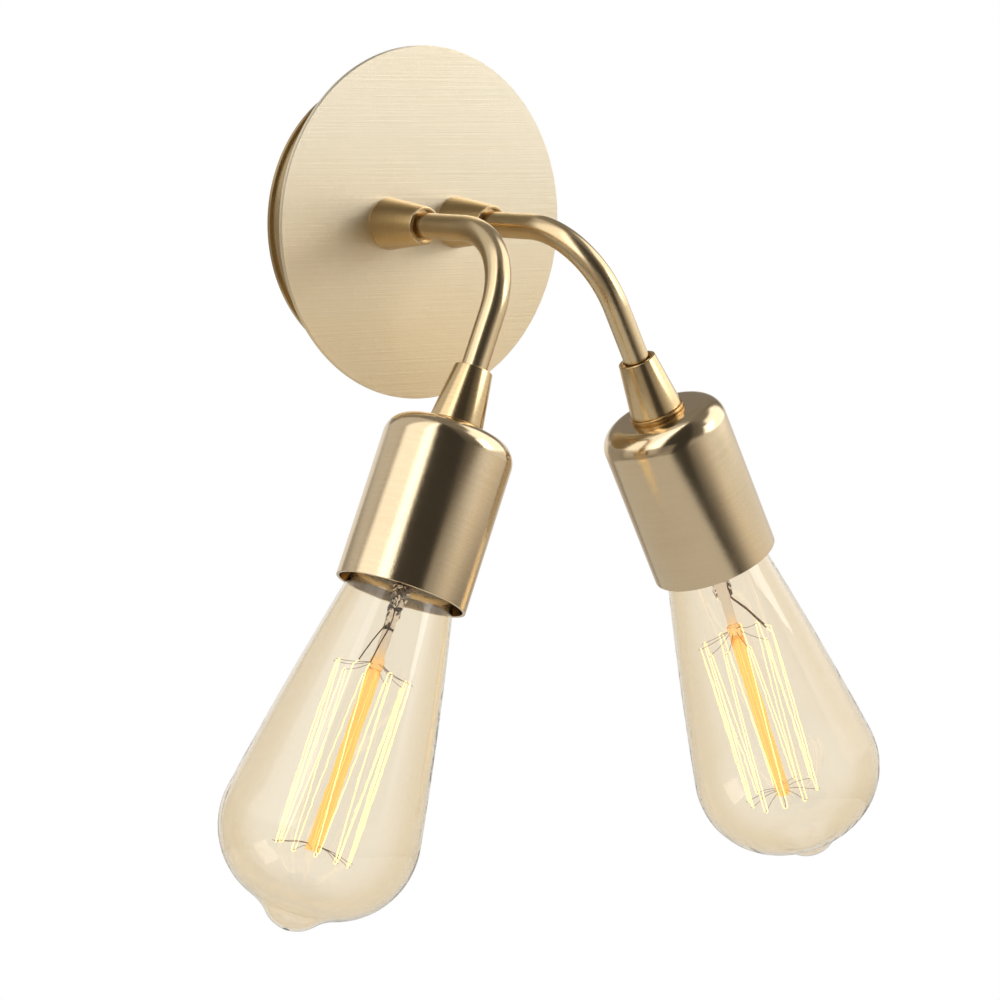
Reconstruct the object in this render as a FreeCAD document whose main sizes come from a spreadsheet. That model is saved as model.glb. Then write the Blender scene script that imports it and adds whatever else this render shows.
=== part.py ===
"""Double arm wall light: a round canopy, two bent swivelling arms, and a bulb in a cup on each.

Frame: the wall is the plane y = 0 and the light stands out of it towards -Y, X runs to the
right seen from the front, Z is up, and the origin is the centre of the canopy on the wall.
Every piece is modelled about its own Z axis and then placed.
"""
import FreeCAD, Part
import math
import os
import Sketcher

Vector = FreeCAD.Vector
Placement = FreeCAD.Placement
Rotation = FreeCAD.Rotation

SIDES = {"left": -1, "right": 1}

# Each turn of the filament is two quarter turns a little tighter than half the turn's width.
FILAMENT_TURN_SHARE = 0.88

# The flare's curve leaves the neck and meets the flank with handles of these shares of its length.
NECK_HANDLE = 0.6
FLANK_HANDLE = 0.45

# Driving dimensions in millimetres and degrees.
SIZES = [
    ("plate_diameter", 120.0, "canopy face plate"),
    ("plate_thickness", 1.6, "canopy face plate"),
    ("plate_edge_chamfer", 0.3, "both rims of the face plate"),
    ("canopy_depth", 22.2, "wall to the front of the face plate"),
    ("drum_diameter", 97.2, "canopy drum, outside"),
    ("drum_wall", 1.0, "spun sheet of the drum"),
    ("drum_lip_width", 0.9, "turned lip at the wall, beyond the drum"),
    ("drum_lip_height", 1.3, "turned lip at the wall"),
    ("arm_spacing", 29.0, "between the two arm axes"),
    ("hole_clearance", 0.2, "radial, round nipples and screws"),
    ("bar_width", 16.0, "wall crossbar"),
    ("bar_thickness", 2.0, "wall crossbar"),
    ("bar_ear_depth", 12.0, "bent ears of the crossbar, from the wall"),
    ("bar_fit", 0.3, "crossbar ears inside the drum"),
    ("wall_slot_spacing", 60.0, "between the wall screw slots"),
    ("wall_slot_length", 10.0, "end to end"),
    ("wall_slot_width", 4.6, "for a wall screw"),
    ("side_screw_diameter", 4.0, "thread of the canopy side screws"),
    ("side_screw_length", 7.0, "under the head"),
    ("side_screw_height", 6.5, "axis above the wall"),
    ("earth_screw_diameter", 4.0, "thread"),
    ("earth_screw_offset", 12.0, "below the centre of the crossbar"),
    ("pan_head_ratio", 1.8, "screw head diameter over thread diameter"),
    ("pan_head_height", 2.2, "screw heads"),
    ("pan_head_side", 0.55, "straight side of a screw head, share of its height"),
    ("pan_head_crown", 0.72, "flat top of a screw head, share of its diameter"),
    ("screw_slot_width", 0.9, "driver slots"),
    ("screw_slot_depth", 1.0, "driver slots"),
    ("block_width", 36.0, "terminal block, across its ways"),
    ("block_height", 12.0, "terminal block, along its ways"),
    ("block_depth", 10.0, "terminal block, out from the crossbar"),
    ("block_offset", 18.0, "block centre above the canopy centre"),
    ("way_count", 4, "ways of the block"),
    ("way_pitch", 8.0, "between the ways of the block"),
    ("way_diameter", 3.0, "wire holes and screw holes of the block"),
    ("block_screw_inset", 3.0, "block screws from the block's ends"),
    ("block_screw_recess", 0.8, "block screws under the block's face"),
    ("nipple_diameter", 13.0, "hollow thread through the canopy"),
    ("nipple_bore", 7.0, "hollow thread through the canopy"),
    ("nipple_inner_reach", 7.0, "behind the drum's front wall"),
    ("nipple_outer_reach", 7.0, "in front of the face plate, inside the cone"),
    ("washer_diameter", 20.0, "behind the drum's front wall"),
    ("washer_thickness", 1.0, "behind the drum's front wall"),
    ("locknut_width", 17.0, "across flats"),
    ("locknut_height", 3.4, "canopy locknuts"),
    ("cone_length", 19.1, "both kinds of cone"),
    ("cone_base_diameter", 17.9, "both kinds of cone"),
    ("cone_tip_diameter", 12.8, "both kinds of cone"),
    ("cone_lip_width", 1.1, "bright ring round the tip"),
    ("cone_lip_depth", 1.5, "recess inside the ring"),
    ("running_clearance", 0.05, "radial, tube and collar in the canopy cone"),
    ("end_play", 0.15, "axial, each end of the swivel collar"),
    ("collar_diameter", 11.7, "swivel collar on the tube"),
    ("collar_length", 4.4, "swivel collar"),
    ("swivel_washer_thickness", 1.0, "spring washer in front of the collar"),
    ("stop_peg_diameter", 1.4, "peg that ends the arm's swing"),
    ("stop_peg_length", 1.5, "peg behind the collar"),
    ("stop_radius", 5.0, "peg from the arm axis"),
    ("stop_clearance", 0.15, "round the peg in its slot"),
    ("stop_margin", 0.6, "degrees left at each end of the slot"),
    ("swing_inner", 6.5, "least splay of an arm, degrees from straight down"),
    ("swing_outer", 173.5, "greatest splay of an arm, degrees from straight down"),
    ("tube_diameter", 8.75, "arm tube"),
    ("tube_wall", 1.0, "arm tube"),
    ("tube_straight", 39.3, "face plate to the start of the bend"),
    ("bend_radius", 29.9, "centre line of the bend"),
    ("bend_angle", 87.2, "degrees"),
    ("tube_drop", 19.8, "end of the bend to the tip of the cup cone"),
    ("tube_insert", 10.0, "tube inside the cup cone"),
    ("left_splay", 24.6, "degrees outwards from straight down"),
    ("right_splay", 25.8, "degrees outwards from straight down"),
    ("ring_diameter", 18.8, "ring between the cup cone and the cup"),
    ("ring_thickness", 1.5, "ring between the cup cone and the cup"),
    ("cup_diameter", 43.1, "lampholder cup, outside"),
    ("cup_length", 56.6, "lampholder cup"),
    ("cup_wall", 1.0, "lampholder cup"),
    ("cup_shoulder_radius", 7.5, "lampholder cup, outside"),
    ("cup_nipple_diameter", 10.0, "hollow thread through the cup"),
    ("cup_nipple_bore", 7.0, "hollow thread through the cup"),
    ("cup_nipple_gap", 0.5, "between the tube's end and the hollow thread"),
    ("cup_nipple_reach", 3.0, "past the locknut, into the lampholder"),
    ("cup_locknut_width", 14.0, "across flats"),
    ("cup_locknut_height", 3.0, "locknut inside the cup"),
    ("holder_diameter", 38.6, "insulating body of the lampholder"),
    ("holder_boss_diameter", 20.0, "top of the insulating body"),
    ("holder_boss_height", 3.4, "top of the insulating body"),
    ("holder_shoulder", 4.0, "height of the body's sloping shoulder"),
    ("holder_wall", 4.3, "round the wiring chamber"),
    ("holder_roof", 1.5, "over the wiring chamber, measured along the axis"),
    ("holder_floor", 3.0, "under the wiring chamber"),
    ("holder_rim_gap", 0.8, "between the body and the bulb cap's rim"),
    ("terminal_radius", 11.2, "terminal screws from the cup's axis"),
    ("terminal_screw_diameter", 3.0, "thread"),
    ("shell_wall", 0.5, "screw shell"),
    ("shell_clearance", 0.35, "radial, screw shell round the bulb cap's crests"),
    ("shell_flange_width", 5.0, "inward flange of the screw shell"),
    ("shell_recess", 0.9, "shell's rim inside the insulating body"),
    ("contact_post_diameter", 3.0, "centre contact"),
    ("contact_head_diameter", 8.0, "centre contact"),
    ("contact_head_height", 1.9, "centre contact above the socket's floor"),
    ("contact_gap", 0.1, "between the centre contact and the bulb"),
    ("lead_diameter", 2.2, "insulated wires"),
    ("lead_offset", 1.35, "each wire from the tube's centre line"),
    ("lead_bend_radius", 3.5, "wires in the canopy and the lampholder"),
    ("lead_height", 7.0, "wires above the wall behind the canopy's front"),
    ("lead_insert", 5.0, "wires inside the terminal block"),
    ("cap_inset", 6.0, "bulb cap's rim inside the cup's mouth"),
    ("cap_crest_diameter", 26.1, "bulb cap over its thread"),
    ("cap_root_diameter", 24.6, "bulb cap between its threads"),
    ("cap_sheet", 0.4, "bulb cap's wall"),
    ("cap_length", 18.0, "threaded part of the bulb cap"),
    ("cap_pitch", 3.63, "bulb cap thread"),
    ("cap_turns", 4, "rounded ridges on the bulb cap"),
    ("ridge_share", 0.6, "foot of a ridge, share of the pitch"),
    ("crest_share", 0.2, "top of a ridge, share of the pitch"),
    ("cap_hole_margin", 1.5, "hole in the cap's floor, round the contact"),
    ("insulator_step", 1.0, "cap's rim round the dark glass button"),
    ("insulator_length", 4.6, "dark glass button under the cap"),
    ("insulator_tip_diameter", 12.0, "dark glass button under the cap"),
    ("tip_diameter", 9.6, "contact on the end of the cap"),
    ("tip_height", 1.9, "contact on the end of the cap"),
    ("tip_flat", 0.7, "flat end of the contact, share of its diameter"),
    ("glass_wall", 0.8, "bulb envelope"),
    ("neck_diameter", 22.8, "glass inside the cap"),
    ("neck_insert", 4.0, "glass inside the cap"),
    ("neck_straight", 0.5, "glass beyond the cap before it flares"),
    ("flare_length", 4.6, "cap rim to the start of the long flank"),
    ("flank_radius", 1400.0, "nearly straight flank of the envelope"),
    ("glass_clearance", 3.55, "radial, foot of the flank inside the cup"),
    ("bulb_diameter", 64.6, "widest part of the envelope"),
    ("bulb_widest", 86.5, "cap rim to the widest part"),
    ("shoulder_radius", 27.0, "round end of the envelope"),
    ("dimple_radius", 13.0, "hollow between the round end and the nib"),
    ("nib_radius", 11.0, "tip of the envelope"),
    ("bulb_length", 119.4, "cap rim to the tip"),
    ("left_glass_seat", -1.3, "glass out of its usual depth in the cap"),
    ("left_glass_lean_in", -0.3, "degrees, glass towards the other bulb"),
    ("left_glass_lean_back", 1.0, "degrees, glass towards the wall"),
    ("left_mount_lean_in", 0.0, "degrees, stem and filament in the glass"),
    ("left_mount_turn", 150.0, "degrees, stem and filament about their axis"),
    ("right_glass_seat", 1.2, "glass out of its usual depth in the cap"),
    ("right_glass_lean_in", 2.9, "degrees, glass towards the other bulb"),
    ("right_glass_lean_back", -0.35, "degrees, glass towards the wall"),
    ("right_mount_lean_in", 2.8, "degrees, stem and filament in the glass"),
    ("right_mount_turn", 35.0, "degrees, stem and filament about their axis"),
    ("stem_foot", 3.4, "glass stem's foot inside the cap"),
    ("stem_foot_rim", 0.8, "straight rim of the stem's foot"),
    ("stem_fit", 0.05, "radial, stem's foot in the neck"),
    ("stem_diameter", 6.4, "glass stem above its flare"),
    ("press_start", 5.0, "cap rim to the flat press"),
    ("press_end", 18.0, "cap rim to the end of the press"),
    ("press_width", 10.0, "widest part of the press"),
    ("press_tip_width", 5.4, "end of the press"),
    ("press_shoulder", 2.0, "start of the press to its full width"),
    ("press_thickness", 3.2, "flat press"),
    ("rod_diameter", 3.4, "glass rod down the middle"),
    ("hub_diameter", 5.0, "buttons that hold the support wires"),
    ("hub_length", 4.0, "buttons that hold the support wires"),
    ("top_hub", 31.0, "cap rim to the middle of the upper button"),
    ("bottom_hub", 91.5, "cap rim to the middle of the lower button"),
    ("cage_radius", 12.6, "filament strands from the bulb's axis"),
    ("cage_top", 34.5, "cap rim to the upper turns of the filament"),
    ("cage_bottom", 93.5, "cap rim to the lower turns of the filament"),
    ("filament_diameter", 0.4, "filament"),
    ("hook_radius", 0.7, "turns of the filament round the support wires"),
    ("strand_count", 20, "straight strands of the filament"),
    ("cage_opening", 22.0, "degrees between the filament's two ends"),
    ("support_diameter", 0.36, "support wires"),
    ("support_gap", 0.05, "between a support wire and the turn that it carries"),
    ("support_overhang", 1.2, "support wires past the filament"),
    ("inlead_diameter", 0.7, "lead wires inside the bulb"),
    ("inlead_spacing", 1.8, "between the lead wires at the press"),
    ("inlead_across", 2.0, "lead wires from the bulb's axis at the press"),
    ("inlead_straight", 2.0, "lead wires past the press before their bend"),
    ("inlead_bend_radius", 1.4, "lead wires at their bend"),
]

# Sizes that follow from the driving ones. Those of the canopy are heights above the wall,
# those of the cup run down its axis from the tip of the cup cone, and those of the bulb
# run from the rim of its cap towards the tip.
STATIONS = [
    ("drum_front", "Sizes.canopy_depth - Sizes.plate_thickness"),
    ("drum_inside", "drum_front - Sizes.drum_wall"),
    ("drum_inner_radius", "Sizes.drum_diameter / 2 - Sizes.drum_wall"),
    ("bar_reach", "sqrt(drum_inner_radius ^ 2 - Sizes.bar_width ^ 2 / 4) - Sizes.bar_fit"),
    ("nipple_rear", "drum_inside - Sizes.nipple_inner_reach"),
    ("nipple_front", "Sizes.canopy_depth + Sizes.nipple_outer_reach"),
    ("washer_rear", "drum_inside - Sizes.washer_thickness"),
    ("collar_rear", "nipple_front + Sizes.end_play"),
    ("collar_front", "collar_rear + Sizes.collar_length"),
    ("chamber_front", "collar_front + Sizes.end_play + Sizes.swivel_washer_thickness"),
    ("block_top", "Sizes.bar_thickness + Sizes.block_depth"),
    ("lip_radius", "Sizes.cone_tip_diameter / 2 - Sizes.cone_lip_width"),
    ("lip_floor", "Sizes.cone_length - Sizes.cone_lip_depth"),
    ("tube_radius", "Sizes.tube_diameter / 2"),
    ("tube_run", "Sizes.canopy_depth + Sizes.tube_straight - collar_rear"),
    ("bend_end_up", "-Sizes.bend_radius * (1 - cos(Sizes.bend_angle))"),
    ("bend_end_out", "tube_run + Sizes.bend_radius * sin(Sizes.bend_angle)"),
    ("cup_cone_up", "bend_end_up - Sizes.tube_drop * sin(Sizes.bend_angle)"),
    ("cup_cone_out", "bend_end_out + Sizes.tube_drop * cos(Sizes.bend_angle)"),
    ("tube_end_up", "cup_cone_up - Sizes.tube_insert * sin(Sizes.bend_angle)"),
    ("tube_end_out", "cup_cone_out + Sizes.tube_insert * cos(Sizes.bend_angle)"),
    ("cup_top", "Sizes.cone_length + Sizes.ring_thickness"),
    ("cup_inside", "cup_top + Sizes.cup_wall"),
    ("cup_mouth", "cup_top + Sizes.cup_length"),
    ("cup_nipple_top", "Sizes.tube_insert + Sizes.cup_nipple_gap"),
    ("holder_top", "cup_inside + Sizes.cup_locknut_height"),
    ("cup_nipple_end", "holder_top + Sizes.cup_nipple_reach"),
    ("holder_slope", "holder_top + Sizes.holder_boss_height"),
    ("holder_side", "holder_slope + Sizes.holder_shoulder"),
    ("cap_rim", "cup_mouth - Sizes.cap_inset"),
    ("holder_end", "cap_rim - Sizes.holder_rim_gap"),
    ("cap_tip", "cap_rim - Sizes.cap_length - Sizes.insulator_length - Sizes.tip_height"),
    ("contact_top", "cap_tip - Sizes.contact_gap"),
    ("shell_inner_radius", "Sizes.cap_crest_diameter / 2 + Sizes.shell_clearance"),
    ("shell_radius", "shell_inner_radius + Sizes.shell_wall"),
    ("socket_floor", "contact_top - Sizes.contact_head_height"),
    ("chamber_floor", "socket_floor - Sizes.holder_floor"),
    ("chamber_radius", "Sizes.holder_diameter / 2 - Sizes.holder_wall"),
    ("terminal_head", "chamber_floor - Sizes.pan_head_height"),
    ("cap_inner_radius", "Sizes.cap_root_diameter / 2 - Sizes.cap_sheet"),
    ("neck_inner_radius", "Sizes.neck_diameter / 2 - Sizes.glass_wall"),
    ("flank_foot_radius", "Sizes.cup_diameter / 2 - Sizes.cup_wall - Sizes.glass_clearance"),
    ("stem_foot_radius", "neck_inner_radius - Sizes.stem_fit"),
]

document = FreeCAD.newDocument("WallLight")
sizes = document.addObject("Spreadsheet::Sheet", "Sizes")
for row, (alias, value, meaning) in enumerate(SIZES, 1):
    sizes.set(f"A{row}", str(value))
    sizes.setAlias(f"A{row}", alias)
    sizes.set(f"B{row}", meaning)
stations = document.addObject("Spreadsheet::Sheet", "Stations")
for row, (alias, formula) in enumerate(STATIONS, 1):
    stations.set(f"A{row}", "=" + formula)
    stations.setAlias(f"A{row}", alias)
document.recompute()

parts = []


def value(expression):
    """The number that a sheet expression gives."""
    return float(sizes.evalExpression(expression))


def plane(body, role):
    """One of a body's own origin planes."""
    for feature in body.Origin.OriginFeatures:
        if feature.Role == role:
            return feature
    raise ValueError(role)


def new_body(label):
    body = document.addObject("PartDesign::Body", label)
    body.Label = label
    return body


def keep(piece, label, placement):
    """Name a finished sub-part and put it in its place in the light."""
    piece.Label = label
    piece.Placement = placement
    parts.append(piece)
    return piece


def new_sketch(body, name, role, offset=None):
    """An empty sketch on one of the body's planes, raised off it by an expression."""
    sketch = body.newObject("Sketcher::SketchObject", body.Name + "_" + name)
    sketch.AttachmentSupport = [(plane(body, role), "")]
    sketch.MapMode = "FlatFace"
    if offset:
        sketch.setExpression("AttachmentOffset.Base.z", offset)
    return sketch


def pin_point(sketch, geometry, vertex, across, along):
    """Hold one vertex at two expressions measured from the sketch's origin."""
    for kind, axis, expression in (("DistanceX", -2, across), ("DistanceY", -1, along)):
        if expression == "0":
            sketch.addConstraint(Sketcher.Constraint("PointOnObject", geometry, vertex, axis))
            continue
        number = value(expression)
        index = sketch.addConstraint(
            Sketcher.Constraint(kind, -1, 1, geometry, vertex, number))
        sketch.setExpression(f"Constraints[{index}]", expression)


def draw_outline(sketch, points):
    """A closed outline of straight lines whose corners are pairs of expressions."""
    corners = [Vector(value(across), value(along), 0) for across, along in points]
    count = len(corners)
    for index in range(count):
        line = Part.LineSegment(corners[index], corners[(index + 1) % count])
        sketch.addGeometry(line, False)
    for index in range(count):
        following = (index + 1) % count
        sketch.addConstraint(Sketcher.Constraint("Coincident", index, 2, following, 1))
    for index, (across, along) in enumerate(points):
        pin_point(sketch, index, 1, across, along)


def draw_circle(sketch, across, along, radius):
    """A circle whose centre and radius are expressions."""
    centre = Vector(value(across), value(along), 0)
    circle = Part.Circle(centre, Vector(0, 0, 1), value(radius))
    index = sketch.addGeometry(circle, False)
    pin_point(sketch, index, 3, across, along)
    held = sketch.addConstraint(Sketcher.Constraint("Radius", index, value(radius)))
    sketch.setExpression(f"Constraints[{held}]", radius)


def draw_slot(sketch, along, length, width):
    """A slot with round ends, centred on the sketch's vertical axis and running along it."""
    middle, reach, radius = value(along), value(f"({length} - {width}) / 2"), value(f"{width} / 2")
    up = Vector(0, 0, 1)
    top, bottom = Vector(0, middle + reach, 0), Vector(0, middle - reach, 0)
    first = sketch.addGeometry(Part.ArcOfCircle(Part.Circle(top, up, radius), 0, math.pi))
    second = sketch.addGeometry(
        Part.ArcOfCircle(Part.Circle(bottom, up, radius), math.pi, 2 * math.pi))
    side = Vector(radius, 0, 0)
    left = sketch.addGeometry(Part.LineSegment(top - side, bottom - side))
    right = sketch.addGeometry(Part.LineSegment(bottom + side, top + side))
    for one, end, other, start in ((first, 2, left, 1), (left, 2, second, 1),
                                   (second, 2, right, 1), (right, 2, first, 1)):
        sketch.addConstraint(Sketcher.Constraint("Tangent", one, end, other, start))
    pin_point(sketch, first, 3, "0", f"{along} + ({length} - {width}) / 2")
    pin_point(sketch, second, 3, "0", f"{along} - ({length} - {width}) / 2")
    held = sketch.addConstraint(Sketcher.Constraint("Radius", first, radius))
    sketch.setExpression(f"Constraints[{held}]", f"{width} / 2")


def turn_outline(body, name, points):
    """A turned solid from its half section, as (radius, height) expressions."""
    sketch = new_sketch(body, name + "_outline", "XZ_Plane")
    draw_outline(sketch, points)
    turned = body.newObject("PartDesign::Revolution", body.Name + "_" + name)
    turned.Profile = sketch
    turned.ReferenceAxis = (sketch, ["V_Axis"])
    turned.Angle = 360
    return turned


def turned_body(label, points):
    body = new_body(label)
    turn_outline(body, "turned", points)
    return body


def pad(body, sketch, length, midplane=False, reverse=False):
    feature = body.newObject("PartDesign::Pad", sketch.Name + "_pad")
    feature.Profile = sketch
    feature.setExpression("Length", length)
    feature.Midplane = midplane
    feature.Reversed = reverse
    return feature


def cut_through(body, sketch):
    """A pocket both ways through the whole body."""
    feature = body.newObject("PartDesign::Pocket", sketch.Name + "_cut")
    feature.Profile = sketch
    feature.Type = "ThroughAll"
    feature.Midplane = True
    return feature


def cut_depth(body, sketch, depth, reverse=False):
    """A pocket of one depth. A pocket goes against its sketch's normal unless reversed."""
    feature = body.newObject("PartDesign::Pocket", sketch.Name + "_cut")
    feature.Profile = sketch
    feature.setExpression("Length", depth)
    feature.Reversed = reverse
    return feature


def repeat(body, feature, role, length, count):
    """Copies of a feature in a row along one of the body's axes."""
    document.recompute()
    pattern = body.newObject("PartDesign::LinearPattern", feature.Name + "_row")
    pattern.Originals = [feature]
    pattern.Direction = (plane(body, role), [""])
    pattern.setExpression("Length", length)
    pattern.setExpression("Occurrences", count)
    body.Tip = pattern
    return pattern


def ring_edges(body, radius, height):
    """Names of the circular edges with one radius at one height."""
    document.recompute()
    names = []
    for number, edge in enumerate(body.Tip.Shape.Edges, 1):
        curve = edge.Curve
        if not isinstance(curve, Part.Circle):
            continue
        if abs(curve.Radius - radius) < 1e-4 and abs(curve.Center.z - height) < 1e-4:
            names.append(f"Edge{number}")
    return names


def soften(body, kind, radius, height, size, prop):
    """A fillet or chamfer on the ring edge with one radius and height."""
    edges = ring_edges(body, value(radius), value(height))
    base = body.Tip
    feature = body.newObject("PartDesign::" + kind, f"{body.Name}_{kind}_{len(body.Group)}")
    feature.Base = (base, edges)
    feature.setExpression(prop, size)
    return feature


def hexagon_nut(name, width, height, bore):
    """A hexagon nut standing on its own XY plane."""
    blank = document.addObject("Part::Prism", name + "_blank")
    blank.Polygon = 6
    blank.setExpression("Circumradius", f"{width} / 2 / cos(30)")
    blank.setExpression("Height", height)
    hole = document.addObject("Part::Cylinder", name + "_hole")
    hole.setExpression("Radius", f"{bore} / 2")
    hole.setExpression("Height", height)
    nut = document.addObject("Part::Cut", name)
    nut.Base = blank
    nut.Tool = hole
    return nut


def pan_screw(name, diameter, length):
    """A slotted screw along Z, its head above z = 0 and its shank below."""
    body = turned_body(name, [
        ("0", f"-{length}"),
        (f"{diameter} / 2", f"-{length}"),
        (f"{diameter} / 2", "0"),
        (f"{diameter} * Sizes.pan_head_ratio / 2", "0"),
        (f"{diameter} * Sizes.pan_head_ratio / 2",
         "Sizes.pan_head_height * Sizes.pan_head_side"),
        (f"{diameter} * Sizes.pan_head_ratio * Sizes.pan_head_crown / 2",
         "Sizes.pan_head_height"),
        ("0", "Sizes.pan_head_height"),
    ])
    sketch = new_sketch(body, "slot", "XY_Plane", "Sizes.pan_head_height")
    half_width, half_length = "Sizes.screw_slot_width / 2", f"{diameter} * Sizes.pan_head_ratio"
    draw_outline(sketch, [(f"-{half_width}", f"-{half_length}"), (half_width, f"-{half_length}"),
                          (half_width, half_length), (f"-{half_width}", half_length)])
    cut_depth(body, sketch, "Sizes.screw_slot_depth")
    return body


def group(label, members):
    """Separate solids that share one node, each already in its place."""
    compound = document.addObject("Part::Compound", label)
    compound.Links = members
    return keep(compound, label, Placement())


def out_of_wall(across=0.0, up=0.0, turn=0.0):
    """Local +Z leaves the wall and local +Y is up, turned about Z."""
    stand = Placement(Vector(across, 0, up), Rotation(Vector(1, 0, 0), 90))
    return stand * Placement(Vector(), Rotation(Vector(0, 0, 1), turn))


def arm_frame(name, height=0.0):
    """On an arm's swivel axis, turned with the arm, at a height above the wall."""
    side = SIDES[name]
    across = side * value("Sizes.arm_spacing") / 2
    turn = side * value(f"Sizes.{name}_splay")
    return out_of_wall(across, 0.0, turn) * Placement(Vector(0, 0, height), Rotation())


def cup_frame(name, station=0.0):
    """On a cup's axis, with +Z towards its mouth, from the tip of the cup cone."""
    tip = Vector(0, value("Stations.cup_cone_up"), value("Stations.cup_cone_out"))
    bend = Rotation(Vector(1, 0, 0), value("Sizes.bend_angle"))
    start = arm_frame(name, value("Stations.collar_rear"))
    return start * Placement(tip, bend) * Placement(Vector(0, 0, station), Rotation())


def cap_frame(name):
    """At the rim of a bulb's cap, with +Z towards the tip of the bulb."""
    return cup_frame(name, value("Stations.cap_rim"))


def glass_frame(name):
    """As the cap's, but seated and leaning as that bulb's glass is."""
    side = SIDES[name]
    inwards = Rotation(Vector(0, 1, 0), -side * value(f"Sizes.{name}_glass_lean_in"))
    back = Rotation(Vector(1, 0, 0), value(f"Sizes.{name}_glass_lean_back"))
    seat = Vector(0, 0, value(f"Sizes.{name}_glass_seat"))
    return cap_frame(name) * Placement(seat, inwards * back)


def mount_frame(name):
    """As the glass's, but leaning about the stem's foot and turned about the axis."""
    side = SIDES[name]
    foot = Placement(Vector(0, 0, value("Sizes.stem_foot_rim / 2 - Sizes.stem_foot")), Rotation())
    inwards = Rotation(Vector(0, 1, 0), -side * value(f"Sizes.{name}_mount_lean_in"))
    turn = Rotation(Vector(0, 0, 1), value(f"Sizes.{name}_mount_turn"))
    return glass_frame(name) * foot * Placement(Vector(), inwards * turn) * foot.inverse()


def rounded_path(points, radius):
    """Straight runs through the points, joined by tangent arcs of one radius."""
    edges = []
    start = points[0]
    for before, corner, after in zip(points, points[1:], points[2:]):
        arriving = (corner - before).normalize()
        leaving = (after - corner).normalize()
        turn = arriving.getAngle(leaving)
        setback = radius * math.tan(turn / 2)
        entry = corner - arriving * setback
        leave = corner + leaving * setback
        inward = (leaving - arriving).normalize()
        middle = corner + inward * (radius / math.cos(turn / 2) - radius)
        edges.append(Part.LineSegment(start, entry).toShape())
        edges.append(Part.Arc(entry, middle, leave).toShape())
        start = leave
    edges.append(Part.LineSegment(start, points[-1]).toShape())
    return Part.Wire(edges)


def wire_solid(path, diameter):
    """A round wire along a path."""
    start = path.Edges[0]
    direction = start.tangentAt(start.FirstParameter)
    ring = Part.Circle(start.valueAt(start.FirstParameter), direction, diameter / 2)
    section = Part.Wire(ring.toShape())
    return path.makePipeShell([section], True, False)


def shaped_part(label, shape, placement):
    """A sub-part whose form is worked out here rather than drawn."""
    feature = document.addObject("Part::Feature", label)
    feature.Shape = shape
    return keep(feature, label, placement)


# The canopy: a thin face plate over a smaller spun drum that stands on the wall.

def canopy_face_plate():
    body = new_body("canopy_face_plate")
    sketch = new_sketch(body, "disc", "XY_Plane", "Stations.drum_front")
    draw_circle(sketch, "0", "0", "Sizes.plate_diameter / 2")
    pad(body, sketch, "Sizes.plate_thickness")
    holes = new_sketch(body, "holes", "XY_Plane")
    for sign in ("-", ""):
        draw_circle(holes, f"{sign}Sizes.arm_spacing / 2", "0",
                    "Sizes.nipple_diameter / 2 + Sizes.hole_clearance")
    cut_through(body, holes)
    soften(body, "Chamfer", "Sizes.plate_diameter / 2", "Sizes.canopy_depth",
           "Sizes.plate_edge_chamfer", "Size")
    soften(body, "Chamfer", "Sizes.plate_diameter / 2", "Stations.drum_front",
           "Sizes.plate_edge_chamfer", "Size")
    keep(body, body.Label, out_of_wall())


def canopy_drum():
    outside, inside = "Sizes.drum_diameter / 2", "Stations.drum_inner_radius"
    lip = outside + " + Sizes.drum_lip_width"
    body = turned_body("canopy_drum", [
        (inside, "0"), (lip, "0"), (lip, "Sizes.drum_lip_height"),
        (outside, "Sizes.drum_lip_height"), (outside, "Stations.drum_front"),
        ("0", "Stations.drum_front"), ("0", "Stations.drum_inside"),
        (inside, "Stations.drum_inside"),
    ])
    holes = new_sketch(body, "holes", "XY_Plane")
    for sign in ("-", ""):
        draw_circle(holes, f"{sign}Sizes.arm_spacing / 2", "0",
                    "Sizes.nipple_diameter / 2 + Sizes.hole_clearance")
    cut_through(body, holes)
    screws = new_sketch(body, "screw_holes", "XZ_Plane")
    draw_circle(screws, "0", "Sizes.side_screw_height",
                "Sizes.side_screw_diameter / 2 + Sizes.hole_clearance")
    cut_through(body, screws)
    keep(body, body.Label, out_of_wall())


def wall_crossbar():
    """A steel strap with two wall screw slots and an ear bent out at each end."""
    reach, sheet, ear = "Stations.bar_reach", "Sizes.bar_thickness", "Sizes.bar_ear_depth"
    body = new_body("wall_crossbar")
    sketch = new_sketch(body, "strap", "YZ_Plane")
    draw_outline(sketch, [
        (f"-{reach}", "0"), (reach, "0"), (reach, ear), (f"{reach} - {sheet}", ear),
        (f"{reach} - {sheet}", sheet), (f"-({reach} - {sheet})", sheet),
        (f"-({reach} - {sheet})", ear), (f"-{reach}", ear),
    ])
    pad(body, sketch, "Sizes.bar_width", midplane=True)
    slots = new_sketch(body, "slots", "XY_Plane")
    for sign in ("-", ""):
        draw_slot(slots, f"{sign}Sizes.wall_slot_spacing / 2",
                  "Sizes.wall_slot_length", "Sizes.wall_slot_width")
    draw_circle(slots, "0", "-Sizes.earth_screw_offset", "Sizes.earth_screw_diameter / 2")
    cut_through(body, slots)
    ears = new_sketch(body, "ear_holes", "XZ_Plane")
    draw_circle(ears, "0", "Sizes.side_screw_height", "Sizes.side_screw_diameter / 2")
    cut_through(body, ears)
    keep(body, body.Label, out_of_wall())


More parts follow.
